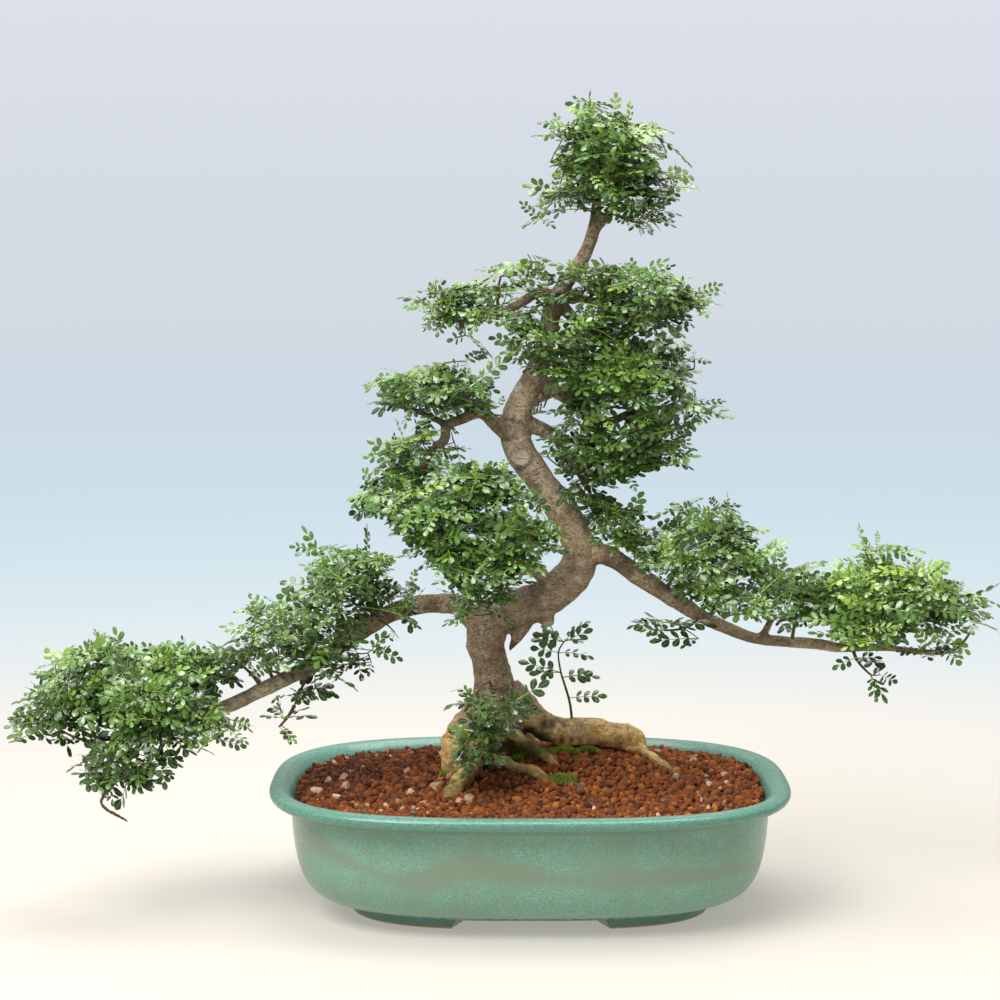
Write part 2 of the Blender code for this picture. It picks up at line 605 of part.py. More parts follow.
def leaflet_corners(foot, side, scale):
    """Two foot points and two end points of a wedge leaflet, as (along, across)."""
    cosine, sine = math.cos(LEAFLET_ANGLE), math.sin(LEAFLET_ANGLE)
    length, half = LEAFLET_LENGTH * scale, LEAFLET_WIDTH * scale / 2
    rear_out, fore_out = length * LEAFLET_SHOULDERS[0], length * LEAFLET_SHOULDERS[1]
    rear = (foot + rear_out * cosine - half * sine, FROND_RIB_HALF + rear_out * sine + half * cosine)
    fore = (foot + fore_out * cosine + half * sine, FROND_RIB_HALF + fore_out * sine - half * cosine)
    low, high = (foot - LEAFLET_FOOT_HALF, FROND_RIB_HALF), (foot + LEAFLET_FOOT_HALF, FROND_RIB_HALF)
    return [(u, side * v) for u, v in (low, rear, fore, high)]


def frond_outline(length):
    """Outline of a frond cut to its rib, with the triangles that fill it.

    Returns points (along, across) in order round the blade and index triples.
    """
    scale = length / FROND_LENGTH
    sides = []
    for side in (-1, 1):
        points = [(0.0, side * FROND_RIB_HALF)]
        for share in PAIR_PLACES:
            points += leaflet_corners(share * length, side, scale)
        sides.append(points)
    left, right = sides
    end_half = LEAFLET_WIDTH * scale / 2 * LEAFLET_END_WIDTH
    end = [(length, -end_half), (length, end_half)]
    outline = left + end + list(reversed(right))
    count, last = len(left), len(outline) - 1
    fill = []
    feet = [1 + 4 * pair for pair in range(len(PAIR_PLACES))]
    for low in feet:
        for a, b, c in ((low, low + 1, low + 2), (low, low + 2, low + 3)):
            fill.append((a, b, c))
            fill.append((last - a, last - c, last - b))
    rib = [0] + [corner for low in feet for corner in (low, low + 3)]
    for a, b in zip(rib, rib[1:]):
        fill.append((a, b, last - b))
        fill.append((a, last - b, last - a))
    neck = count - 1
    fill.append((neck, count, count + 1))
    fill.append((neck, count + 1, last - neck))
    return outline, fill


def build_frond(origin, along, face, length, growth=0.0):
    """Thin arched blade: along runs up its rib, face is its upper side."""
    outline, fill = frond_outline(length)
    side = face.cross(along)
    thick = (FROND_THICK / 2 + growth) * MM
    bm = bmesh.new()
    decks = []
    for lift in (-thick, thick):
        deck = []
        for u, v in outline:
            rise = LEAFLET_LIFT * max(abs(v) - FROND_RIB_HALF, 0.0) - FROND_DROOP * u * u
            wide = v + math.copysign(growth, v)
            point = origin + (along * u + side * wide + face * rise) * MM
            deck.append(bm.verts.new(point + face * lift))
        decks.append(deck)
    low, high = decks
    for a, b, c in fill:
        bm.faces.new((high[a], high[c], high[b]))
        bm.faces.new((low[a], low[b], low[c]))
    count = len(outline)
    for i in range(count):
        j = (i + 1) % count
        bm.faces.new((low[i], high[j], low[j]))
        bm.faces.new((low[i], high[i], high[j]))
    bmesh.ops.recalc_face_normals(bm, faces=bm.faces)
    return bm


def frond_direction(order, turn, tangent, draw):
    """Direction and upper face of one frond about its stem."""
    level = tangent.cross(Vector((0, 0, 1)))
    level = level.normalized() if level.length > 0.15 else Vector((1, 0, 0))
    upward = level.cross(tangent).normalized()
    if order == 0:
        along = tangent
        for axis in (level, upward):
            along = along + axis * draw.uniform(-END_SPREAD, END_SPREAD)
    else:
        roll = turn + order * math.pi + draw.uniform(-FROND_ROLL_SPREAD, FROND_ROLL_SPREAD)
        opening = math.radians(draw.uniform(*FROND_OPENING))
        around = level * math.cos(roll) + upward * abs(math.sin(roll)) * FROND_FLATTENING
        along = tangent * math.cos(opening) + around.normalized() * math.sin(opening)
    along.normalize()
    face = Vector((draw.uniform(*FACE_SIDEWAYS), draw.uniform(*FACE_FORWARD), 1.0))
    face = face - along * face.dot(along)
    if face.length < 0.2:
        face = along.orthogonal()
    return along, face.normalized()


def build_sprays(leaf, pot, soil, wood, draw):
    """All sprays: stems first, then end fronds, then side fronds by the golden angle."""
    solids = [triangle_tree(obj) for obj in (pot, soil, wood)]
    sprays = [Spray(name, *route, solids[-1]) for name, route in SPRAYS.items()]
    stems = [BVHTree.FromBMesh(spray.stem()) for spray in sprays]
    placed = []
    for order in range(1 + len(SIDE_SEATS)):
        for index, spray in enumerate(sprays):
            if order == 2 and spray.reach < LONG_REACH * MM:
                continue
            others = stems[:index] + stems[index + 1:]
            tree = spray.add_frond(order, index * GOLDEN_ANGLE, solids + others + placed, draw)
            if tree:
                placed.append(tree)
    for spray in sprays:
        spray.fuse(leaf)


def main():
    """Build the whole bonsai."""
    for obj in list(bpy.data.objects):
        bpy.data.objects.remove(obj, do_unlink=True)
    draw = random.Random(SEED)
    glaze = make_material("glazed_ceramic", (0.11, 0.30, 0.22), 0.22)
    earth = make_material("granular_soil", (0.19, 0.06, 0.03), 0.95)
    bark = make_material("bark", (0.24, 0.16, 0.10), 0.85)
    leaf = make_material("leaf", (0.05, 0.17, 0.03), 0.4)
    plastic = make_material("screen_plastic", (0.02, 0.02, 0.02), 0.6)

    pot = build_pot(glaze)
    soil = build_soil(earth, draw)
    build_screen("drain_screen_left", -DRAIN_X, plastic)
    build_screen("drain_screen_right", DRAIN_X, plastic)
    wood = build_wood(bark)
    cut_root_holes(soil)

    build_sprays(leaf, pot, soil, wood, draw)


main()
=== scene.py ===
"""Finished look of a chinese pepper bonsai in its glazed oval pot.

The tree is dressed piece by piece: a fine bark surface over the trunk, boughs
and roots, a leafy shoot system for each spray, granules, stones and moss over
the soil, and a smooth glazed pot.  Tables of points are in millimetres from
the middle of the pot's foot plane: x to the right, y to the back, z up.
"""

import itertools
import logging
import math
from collections.abc import Sequence
from dataclasses import dataclass, field
from enum import Enum

import bmesh
import bpy
import numpy as np
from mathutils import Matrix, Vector


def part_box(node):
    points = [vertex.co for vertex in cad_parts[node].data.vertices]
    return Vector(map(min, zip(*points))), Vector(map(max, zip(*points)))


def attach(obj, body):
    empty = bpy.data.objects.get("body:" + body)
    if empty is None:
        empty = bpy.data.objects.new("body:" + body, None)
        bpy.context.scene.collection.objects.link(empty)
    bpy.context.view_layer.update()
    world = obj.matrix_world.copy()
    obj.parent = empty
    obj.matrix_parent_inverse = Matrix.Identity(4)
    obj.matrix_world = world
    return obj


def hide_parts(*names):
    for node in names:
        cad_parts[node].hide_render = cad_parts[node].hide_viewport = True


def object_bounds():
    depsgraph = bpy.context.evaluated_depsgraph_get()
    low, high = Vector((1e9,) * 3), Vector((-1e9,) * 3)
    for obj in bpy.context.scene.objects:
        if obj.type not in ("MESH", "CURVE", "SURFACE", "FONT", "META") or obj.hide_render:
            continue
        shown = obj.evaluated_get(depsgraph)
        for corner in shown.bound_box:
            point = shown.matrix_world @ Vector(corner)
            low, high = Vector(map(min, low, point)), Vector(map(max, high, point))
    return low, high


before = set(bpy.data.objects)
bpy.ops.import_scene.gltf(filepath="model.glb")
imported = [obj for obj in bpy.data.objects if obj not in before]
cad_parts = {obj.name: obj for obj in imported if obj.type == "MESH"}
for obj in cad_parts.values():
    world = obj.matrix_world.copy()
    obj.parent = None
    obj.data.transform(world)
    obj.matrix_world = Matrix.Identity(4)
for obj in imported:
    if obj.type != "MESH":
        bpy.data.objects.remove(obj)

LOG = logging.getLogger("bonsai")
CAD_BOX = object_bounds()
MM = 0.001
SEED = 7

Array = np.ndarray
Material = bpy.types.Material
Mesh = bpy.types.Mesh
Node = bpy.types.Node
Object = bpy.types.Object
Socket = bpy.types.NodeSocket
Tree = bpy.types.NodeTree
Colour = tuple[float, float, float]
Point = tuple[float, float, float]
POT_LOW, POT_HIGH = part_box("pot")
POT_CENTRE = np.array([(POT_LOW.x + POT_HIGH.x) / 2, (POT_LOW.y + POT_HIGH.y) / 2, POT_LOW.z])
UP = np.array([0.0, 0.0, 1.0])
FRONT_SIDE = np.array([0.0, -0.26, 0.0])
VIEWER_EYE = (-21.0, -1600.0, 455.0)     # millimetres about the pot's foot

# Limbs: points (x, y, z, radius) from root to tip
TRUNK = [
    (-24, 28, 64, 15), (-24, 27, 98, 16), (-22, 23, 124, 18), (-25, 20, 147, 15), (-28, 17, 166, 13.2),
    (-31, 14, 184, 14), (-27, 12, 199, 14.6), (-8, 10, 207, 14.5), (17, 10, 219, 13.5), (34, 11, 237, 13),
    (34, 11, 257, 12), (23, 10, 278, 11), (7, 7, 300, 10.5), (-7, 3, 320, 10.7), (-11, 1, 337, 10.5),
    (-6, 0, 355, 10), (2, 0, 371, 8.5), (9, -2, 390, 7.5), (13, -3, 409, 6.8), (18, -2, 427, 6.2),
    (28, 0, 443, 5.5), (38, 2, 458, 5), (44, 3, 474, 4.7), (46, 2, 492, 3.5), (48, 0, 516, 2.5),
    (50, 0, 538, 1.6),
]
LIMBS = {
    "crown_fork": [(44, 3, 474, 3.8), (56, 5, 488, 3), (63, 6, 500, 2.6), (79, 6, 506, 2)],
    "right_bough": [
        (30, 10, 252, 9), (58, 9, 244, 7.4), (78, 9, 231, 6.8), (99, 10, 217, 6.2), (118, 12, 204.5, 5.5),
        (136, 14, 195, 4.6), (158, 15, 186, 4.3), (179, 16, 183, 4.2), (205, 17, 181, 4),
        (223, 18, 178, 3.5), (252, 19, 178, 2.7), (278, 20, 175, 2.5), (296, 20, 174, 2.2),
    ],
    "left_bough": [
        (-30, 13, 188, 9), (-49, 8, 209, 7.5), (-65, 4, 212, 7), (-83, 0, 211, 6.7), (-101, -5, 205, 6.5),
        (-118, -10, 195, 6.3), (-136, -15, 183, 6), (-155, -20, 171, 5.8), (-172, -25, 163, 5.6),
        (-190, -29, 155, 5.3), (-206, -32, 147, 5), (-223, -35, 142, 4.3), (-243, -38, 137, 3.6),
        (-266, -40, 129, 3), (-291, -42, 125, 2.2),
    ],
    "upper_left": [
        (-9, 1, 330, 7), (-20, 1, 336, 5.4), (-34, -1, 348, 4.6), (-49, -3, 343, 4), (-58, -4, 339, 3.8),
        (-60, -5, 329, 3.5), (-69, -7, 321, 3.2), (-77, -9, 308, 2.8), (-83, -10, 299, 2.4),
    ],
    "upper_left_side": [(-56, -4, 339, 2.8), (-76, -4, 348, 2.2), (-93, -4, 353, 1.7)],
    "high_left": [
        (16, -2, 428, 4.4), (7, -3, 432, 3.8), (-8, -6, 424, 3.4), (-24, -8, 416, 2.9),
        (-45, -10, 412, 2.1),
    ],
    "front_bough": [
        (15, 6, 223, 6), (4, -8, 237, 5), (-14, -24, 240, 4.2), (-28, -34, 243, 3.8), (-45, -40, 257, 3.2),
        (-55, -43, 273, 2.5),
    ],
    "right_low": [(-3, 3, 341, 6), (21, 10, 329, 4.5), (31, 14, 313, 3.6), (42, 18, 292, 2.6)],
    "right_mid": [
        (4, 1, 372, 5.5), (28, 8, 356, 4.2), (52, 8, 341, 3.4), (73, 7, 348, 2.7), (91, 6, 351, 2),
    ],
    "right_high": [(19, -1, 427, 4.8), (31, 3, 413, 4), (53, 6, 396, 2.6)],
    "right_top": [(22, 0, 432, 3.8), (42, 4, 426, 3), (70, 6, 425, 2.2), (91, 5, 422, 1.7)],
    "back_mid": [(-5, 2, 352, 5), (11, 35, 358, 4), (41, 62, 364, 3), (71, 75, 367, 2.2)],
    "wedge_stub": [(-1, 10, 207, 9), (-7, 10, 191, 5.5), (-14, 9, 178, 1.4)],
    "under_stub": [(11, 10, 214, 7), (13, 8, 198, 5)],
    "right_stub": [(166, 15, 186, 3.2), (170, 13, 194, 2.6), (173, 11, 202, 2.6)],
    "hanging_twig": [(-151, -19, 171, 2.2), (-159, -20, 158, 1.5), (-165, -22, 144, 1.2)],
    "bare_twig": [
        (-266, -41, 128, 2.2), (-284, -60, 100, 1.7), (-294, -64, 84, 1.5), (-277, -62, 71, 1.1),
    ],
    "bough_knob": [(-118, -9, 198, 6.5), (-119, -15, 204, 5.2)],
    "bough_knob_side": [(-131, -12, 192, 5.5), (-132, -18, 202, 4.2)],
    "sawn_twig_high": [(-20, -28, 243, 2.4), (-22, -38, 258, 2), (-22, -42, 270, 1.8)],
    "sawn_twig_low": [(-30, -34, 244, 2.2), (-33, -44, 240, 1.8), (-35, -50, 244, 1.7)],
    "trunk_nub": [(28, 6, 269, 5), (35, 2, 276, 2.4)],
}
ROOTS = {
    "right_root": [
        (-16, 22, 146, 12), (0, 27, 128, 11.4), (8, 30, 121, 9.8), (18, 33, 114.5, 9.6),
        (27, 35, 112, 9.3), (41, 38, 113, 9), (53, 40, 111.5, 8.6), (67, 42, 109, 8.6),
        (77, 43, 106, 7.4), (82, 43, 103, 4.6),
    ],
    "right_root_end": [
        (70, 41, 104, 5), (86, 36, 97, 3.6), (92, 24, 94.5, 3.3), (99, 12, 92, 2.8), (106, 3, 86, 2),
    ],
    "left_root": [
        (-28, 22, 142, 11), (-42, 16, 124, 11), (-51, 10, 111, 11), (-53, 6, 97, 10), (-52, 5, 80, 9),
    ],
    "left_front_root": [(-32, 15, 124, 9), (-40, 4, 108, 9), (-41, 0, 94, 8.4), (-41, -2, 79, 7)],
    "forked_root": [
        (-17, 12, 127, 6.5), (-10, 6, 117, 4.6), (-1, 4, 110, 4.4), (9, 4, 103, 3.6), (17, 3, 97, 3),
        (25, 2, 86, 2.2),
    ],
    "small_root": [(-36, 4, 106, 4.6), (-25, -2, 101, 3.8), (-14, -5, 98, 3.6), (-4, -9, 84, 2.2)],
    "pale_root": [(-40, 0, 98, 6), (-45, -17, 93, 6), (-52, -37, 87, 6.4), (-59, -56, 77, 4)],
    "root_loop": [(-14, 6, 94, 4), (-3, -8, 95, 3.8), (7, -15, 92.5, 4), (16, -24, 84, 2.6)],
    "back_root": [(-17, 30, 127, 12), (-6, 55, 108, 8), (5, 72, 95, 5), (12, 84, 82, 3)],
}


@dataclass(frozen=True)
class Shoot:
    """Course of a leafy shoot, in millimetres about the pot's foot.

    Attributes:
        limb: Limb that carries it.
        foot: Its foot on the limb.
        tip: Its furthest tip.
    """

    limb: str
    foot: Point
    tip: Point


# Sprays by limb: name, foot (x, y, z) and tip (x, y, z)
SPRAYS = {name: Shoot(limb, tuple(points[:3]), tuple(points[3:])) for limb, rows in (
    ("left_bough", (
        ("spray_far_left_tip", -291, -42, 125, -364, -50, 122),
        ("spray_far_left_front", -283, -42, 126, -340, -66, 166),
        ("spray_far_left_top", -262, -40, 130, -290, -26, 196),
        ("spray_left_top", -243, -38, 137, -244, -44, 198),
        ("spray_left_forward", -253, -39, 132, -262, -106, 154),
        ("spray_left_drooping", -284, -42, 125, -320, -62, 92),
        ("spray_left_hanging", -257, -39, 131, -250, -66, 91),
        ("spray_left_inner", -229, -36, 141, -190, -84, 144),
        ("spray_bough_low", -187, -28, 156, -222, -52, 199),
        ("spray_bough_mid", -178, -26, 161, -206, -14, 214),
        ("spray_bough_forward", -172, -25, 163, -184, -88, 184),
        ("spray_knob_left", -131, -14, 187, -166, -36, 232),
        ("spray_knob_top", -125, -12, 191, -153, -10, 260),
        ("spray_knob_right", -110, -7, 200, -100, -32, 262),
    )),
    ("hanging_twig", (
        ("spray_under_left", -165, -22, 144, -184, -32, 118),
    )),
    ("front_bough", (
        ("spray_front_tip", -55, -43, 273, -100, -52, 287),
        ("spray_front_inner", -42, -39, 254, -24, -50, 320),
        ("spray_front_right", -27, -34, 243, 31, -74, 266),
        ("spray_front_left", -36, -37, 250, -88, -84, 256),
        ("spray_front_low", -18, -27, 241, -38, -64, 200),
    )),
    ("upper_left", (
        ("spray_mid_left_low", -83, -10, 299, -125, -24, 286),
        ("spray_mid_left", -71, -8, 318, -117, 2, 326),
    )),
    ("upper_left_side", (
        ("spray_shelf_tip", -93, -4, 353, -112, -8, 378),
    )),
    ("upper_left", (
        ("spray_shelf_top", -49, -3, 343, -78, -20, 396),
    )),
    ("high_left", (
        ("spray_high_left_tip", -45, -10, 412, -82, -14, 430),
        ("spray_high_left_top", -22, -8, 417, -20, -22, 464),
    )),
    ("trunk", (
        ("spray_crown_top", 50, 0, 538, 48, -4, 573), ("spray_crown_left", 48, 0, 514, -2, -12, 524),
        ("spray_crown_right", 50, 0, 533, 103, -12, 552), ("spray_crown_front", 48, 0, 520, 36, -64, 508),
    )),
    ("crown_fork", (
        ("spray_crown_low", 56, 5, 488, 95, -8, 472), ("spray_crown_tip", 79, 6, 506, 118, 4, 516),
        ("spray_crown_back", 66, 6, 501, 58, 62, 524),
    )),
    ("right_top", (
        ("spray_collar_top", 52, 4, 426, 66, -22, 462),
    )),
    ("trunk", (
        ("spray_neck", 12, -3, 400, -14, -44, 392),
    )),
    ("right_top", (
        ("spray_collar_tip", 91, 5, 422, 134, 2, 434),
    )),
    ("right_high", (
        ("spray_collar_low", 53, 6, 396, 113, -18, 398),
    )),
    ("right_mid", (
        ("spray_shoulder_tip", 91, 6, 351, 151, -6, 349),
        ("spray_shoulder_top", 76, 7, 348, 135, 14, 392),
        ("spray_shoulder_front", 48, 8, 343, 34, -54, 380),
        ("spray_shoulder_low", 66, 7, 346, 108, -30, 314),
    )),
    ("back_mid", (
        ("spray_shoulder_back", 71, 75, 367, 114, 88, 360),
    )),
    ("right_bough", (
        ("spray_right_inner", 60, 9, 244, 74, -12, 286), ("spray_right_top", 96, 10, 220, 108, -8, 300),
        ("spray_right_outer", 126, 13, 200, 172, -18, 264),
        ("spray_right_forward", 104, 11, 214, 118, -58, 232),
        ("spray_right_hanging", 122, 12, 203, 76, -18, 188),
        ("spray_arm_left", 186, 16, 183, 192, -12, 246), ("spray_arm_top", 223, 18, 178, 246, 10, 260),
        ("spray_arm_high", 254, 19, 178, 286, -30, 248), ("spray_arm_tip", 296, 20, 174, 334, 8, 214),
        ("spray_arm_forward", 250, 19, 178, 236, -54, 204),
        ("spray_arm_hanging", 232, 18, 178, 252, 0, 146),
    )),
    ("trunk", (
        ("sprig_at_base", -24, 20, 144, -30, -40, 170),
    )),
    ("right_root", (
        ("sprout_on_root", 32, 36, 112, 27, 27, 196),
    )),
) for name, *points in rows}

# The last shoot is small and has no node of its own
SHOOTS = {**SPRAYS, "tuft_right_low": Shoot("right_low", (42, 18, 292), (38, -6, 270))}


@dataclass(frozen=True)
class Pad:
    """Cloud of leafy shoots: an ellipsoid in millimetres about the pot's foot.

    Attributes:
        sprays: Last words of the names of the sprays that carry it.
        centre: Its middle.
        half: Its half sizes, the leaves included.
    """

    sprays: str
    centre: Point
    half: Point


# Rows: the pad's sprays, its middle (x, y, z) and its half sizes
PADS = tuple(Pad(sprays, (x, y, z), (a, b, c)) for sprays, x, y, z, a, b, c in (
    ("left_top far_left_top left_forward left_inner", -262, -48, 161, 50, 46, 31),
    ("far_left_top far_left_front", -312, -46, 163, 33, 38, 28),
    ("far_left_tip far_left_front", -336, -52, 144, 29, 28, 16),
    ("far_left_tip", -358, -50, 124, 14, 12, 8), ("left_top", -232, -34, 175, 17, 24, 16),
    ("left_drooping left_hanging", -270, -58, 126, 39, 38, 23),
    ("left_drooping", -298, -62, 110, 13, 18, 15), ("left_hanging", -281, -66, 104, 15, 18, 13),
    ("left_hanging", -243, -64, 118, 12, 14, 10), ("left_inner", -221, -68, 139, 20, 24, 19),
    ("left_inner", -203, -74, 137, 15, 12, 11),
    ("bough_low bough_mid bough_forward", -180, -38, 197, 32, 40, 26),
    ("bough_low", -211, -48, 189, 11, 14, 11),
    ("knob_left knob_top knob_right", -128, -22, 233, 34, 38, 28),
    ("knob_left", -144, -38, 189, 19, 22, 23), ("knob_top", -148, -12, 254, 14, 14, 11),
    ("knob_right", -88, -14, 222, 19, 16, 12), ("knob_right", -101, -30, 211, 24, 14, 10),
    ("under_left", -167, -26, 151, 14, 12, 9), ("under_left", -173, -28, 133, 6, 8, 13),
    ("knob_left", -115, -24, 179, 16, 14, 14), ("knob_right", -97, -20, 194, 17, 14, 10),
    ("front_tip front_inner", -72, -50, 286, 33, 40, 23),
    ("front_inner front_tip", -33, -52, 293, 38, 40, 27),
    ("front_left front_right", -35, -60, 253, 41, 38, 29), ("front_left", -61, -58, 261, 18, 26, 15),
    ("front_right", 3, -66, 263, 27, 22, 21), ("front_low", -33, -50, 219, 33, 28, 19),
    ("front_low", -11, -44, 202, 21, 14, 10), ("front_inner", -35, -46, 309, 17, 18, 8),
    ("mid_left mid_left_low", -81, -10, 319, 29, 38, 22),
    ("mid_left_low mid_left", -102, -14, 289, 24, 32, 18), ("shelf_tip", -82, -6, 366, 29, 34, 20),
    ("shelf_top shelf_tip", -46, -12, 362, 22, 32, 18), ("shelf_top", -52, -14, 383, 20, 18, 7),
    ("shelf_top", -22, -16, 351, 16, 14, 12), ("high_left_tip high_left_top", -28, -10, 425, 40, 36, 21),
    ("high_left_tip", -63, -12, 425, 18, 22, 16), ("high_left_top", 2, -16, 452, 15, 14, 11),
    ("high_left_tip", -49, -12, 402, 16, 12, 7),
    ("crown_top crown_left crown_right crown_front crown_back", 53, -4, 530, 33, 48, 30),
    ("crown_top", 38, -4, 559, 12, 14, 14), ("crown_left crown_front", 22, -8, 496, 21, 28, 16),
    ("crown_left", 13, -10, 524, 12, 16, 14), ("crown_front crown_low", 49, -8, 504, 31, 34, 15),
    ("crown_tip", 94, 2, 502, 18, 18, 12), ("crown_right", 97, -10, 528, 18, 12, 5),
    ("crown_low", 79, -4, 487, 22, 26, 13), ("neck", 12, -34, 397, 30, 22, 26),
    ("neck", 15, -24, 432, 11, 12, 15), ("collar_top collar_tip collar_low", 80, -4, 428, 36, 42, 25),
    ("collar_top", 40, -10, 442, 18, 20, 14), ("collar_tip", 117, 2, 429, 17, 14, 13),
    ("shoulder_front shoulder_top shoulder_back", 62, 4, 375, 52, 56, 24),
    ("shoulder_top", 112, 10, 385, 17, 18, 8), ("shoulder_tip", 115, -2, 352, 23, 24, 11),
    ("shoulder_low shoulder_front shoulder_back", 58, 0, 338, 46, 50, 27),
    ("shoulder_low", 92, -10, 336, 18, 24, 19), ("shoulder_low", 64, -16, 312, 21, 22, 14),
    ("collar_low neck", 40, -20, 416, 23, 22, 18), ("collar_top collar_low", 57, -6, 399, 24, 28, 11),
    ("shoulder_low", 30, -16, 337, 18, 20, 23), ("shoulder_tip shoulder_low", 93, -6, 314, 14, 20, 12),
    ("under_left", -148, -26, 161, 17, 14, 12), ("tuft_right_low", 37, 2, 297, 16, 20, 18),
    ("right_inner", 59, -4, 270, 20, 26, 20), ("right_inner", 78, -4, 253, 14, 18, 14),
    ("right_top right_forward", 115, -14, 246, 38, 46, 29), ("right_top", 124, -10, 275, 32, 32, 20),
    ("right_outer", 152, -14, 251, 23, 34, 23), ("right_outer right_forward", 152, -18, 215, 31, 38, 21),
    ("right_outer", 181, -10, 227, 19, 24, 17), ("right_forward", 122, -38, 226, 20, 20, 12),
    ("right_hanging", 92, -14, 203, 16, 14, 10), ("right_hanging", 122, -10, 187, 10, 10, 11),
    ("arm_left", 216, -4, 216, 21, 32, 25), ("arm_left arm_top", 238, -8, 219, 29, 40, 27),
    ("arm_top", 243, 4, 247, 16, 16, 14), ("arm_left", 199, -2, 210, 16, 20, 15),
    ("arm_forward arm_top", 234, -28, 197, 25, 24, 15),
    ("arm_high arm_forward", 274, -10, 219, 30, 40, 28), ("arm_high", 289, -14, 190, 12, 18, 11),
    ("arm_tip", 306, 8, 213, 25, 22, 15), ("arm_hanging", 230, 2, 170, 9, 8, 13),
    ("arm_hanging", 251, 4, 161, 9, 8, 11), ("arm_tip", 283, 4, 176, 16, 12, 8),
    ("far_left_top left_top", -288, -44, 187, 29, 26, 9),
    ("knob_left knob_top", -129, -34, 231, 17, 20, 12), ("shelf_tip", -74, -8, 356, 22, 20, 7),
    ("mid_left", -54, -8, 331, 9, 14, 12), ("front_inner front_right", -13, -42, 299, 17, 20, 16),
    ("front_right", 12, -44, 272, 9, 16, 18), ("bough_forward bough_low", -199, -42, 170, 18, 16, 10),
    ("crown_front crown_back crown_top", 51, -6, 528, 26, 34, 22),
    ("crown_top crown_left", 26, -6, 543, 16, 20, 12), ("crown_right crown_top", 81, -8, 542, 18, 22, 11),
    ("crown_left", 11, -10, 482, 11, 12, 5), ("collar_top neck", 41, -16, 436, 17, 20, 14),
    ("shoulder_front", 13, 20, 349, 10, 8, 8), ("tuft_right_low", 13, 26, 318, 9, 8, 12),
    ("arm_tip", 290, 10, 178, 19, 14, 9), ("high_left_top", -7, -14, 445, 22, 18, 11),
    ("crown_tip crown_right", 86, -4, 515, 15, 20, 9), ("shelf_top", -32, -12, 369, 11, 16, 11),
    ("shoulder_back", 88, 74, 364, 27, 21, 14), ("arm_tip", 317, 10, 201, 12, 12, 11),
    ("sprig_at_base", -27, -36, 147, 27, 20, 23), ("sprig_at_base", -38, -44, 119, 16, 16, 20),
))


@dataclass(frozen=True)
class BareStretch:
    """Stretch of bark that the grower keeps free of leaves, as seen from the front.

    Attributes:
        start: One end (x, y, z) on the limb.
        end: The other end.
        half_width: How far to each side it stays free, in millimetres.
    """

    start: Point
    end: Point
    half_width: float


BARE_STRETCHES = (
    BareStretch((-30, 14, 162), (-30, 13, 188), 17),
    BareStretch((0, 10, 206), (22, 10, 224), 12),
    BareStretch((34, 11, 232), (34, 11, 262), 10),
    BareStretch((28, 10, 270), (4, 6, 304), 8),
    BareStretch((-6, 3, 314), (-11, 1, 340), 12),
    BareStretch((-9, 1, 346), (-4, 0, 360), 9),
    BareStretch((44, 10, 247), (88, 10, 225), 7),
    BareStretch((88, 10, 225), (128, 13, 199), 5),
    BareStretch((128, 13, 199), (205, 17, 181), 4),
    BareStretch((-208, -33, 147), (-164, -22, 167), 8),
    BareStretch((-72, 2, 211), (-56, 6, 211), 6),
    BareStretch((36, 2, 456), (45, 3, 478), 8),
    BareStretch((-58, -4, 338), (-78, -9, 306), 4),
)


class Slot(Enum):
    """Material slots of the record."""

    GLAZE = "glaze"
    SOIL = "soil"
    BARK = "bark"
    LEAF = "leaf"


class Vigour(Enum):
    """How fresh the leaves of a spray are, from 0 for old dark leaves to 1 for new ones."""

    NEW = 0.62
    FRESH = 0.40
    SETTLED = 0.35
    SHADED = 0.19


def place(points: Array | Sequence) -> Array:
    """Points in metres in the frame, from millimetres about the pot's foot.

    Args:
        points: One point or rows of points (x, y, z).

    Returns:
        The same shape, in metres.
    """
    return np.asarray(points, float) * MM + POT_CENTRE


def unit(vectors: Array) -> Array:
    """Vectors scaled to length one, along the last axis."""
    return vectors / np.maximum(np.linalg.norm(vectors, axis=-1, keepdims=True), 1e-12)


def lattice_values(cells: Array, seed: int) -> Array:
    """Repeatable number from -1 to 1 for each whole-number cell.

    The three cell numbers are mixed with large primes, and the low 32 bits
    of the product, folded on themselves twice, are spread over -1 to 1.

    Args:
        cells: Rows of three whole numbers.
        seed: Another seed gives another field.

    Returns:
        One value a row.
    """
    mixed = cells.astype(np.int64) @ np.array([73856093, 19349663, 83492791]) + seed * 2654435761
    mixed = ((mixed ^ (mixed >> 13)) * 1274126177) & 0xFFFFFFFF
    mixed = ((mixed ^ (mixed >> 16)) * 668265263) & 0xFFFFFFFF
    return (mixed ^ (mixed >> 15)) / 0x80000000 - 1.0


def value_noise(points: Array, cell: float, seed: int) -> Array:
    """Smooth noise from -1 to 1: cell corners blended by s = 3t^2 - 2t^3 on each axis.

    Args:
        points: Rows of points in metres.
        cell: Size of a lump in metres.
        seed: Seed of the field.

    Returns:
        One value a point.
    """
    scaled = points / cell
    base = np.floor(scaled)
    blend = scaled - base
    blend = blend * blend * (3.0 - 2.0 * blend)
    total = np.zeros(len(points))
    for corner in itertools.product((0, 1), repeat=3):
        step = np.array(corner)
        weight = np.prod(np.where(step == 1, blend, 1.0 - blend), axis=1)
        total += weight * lattice_values(base + step, seed)
    return total


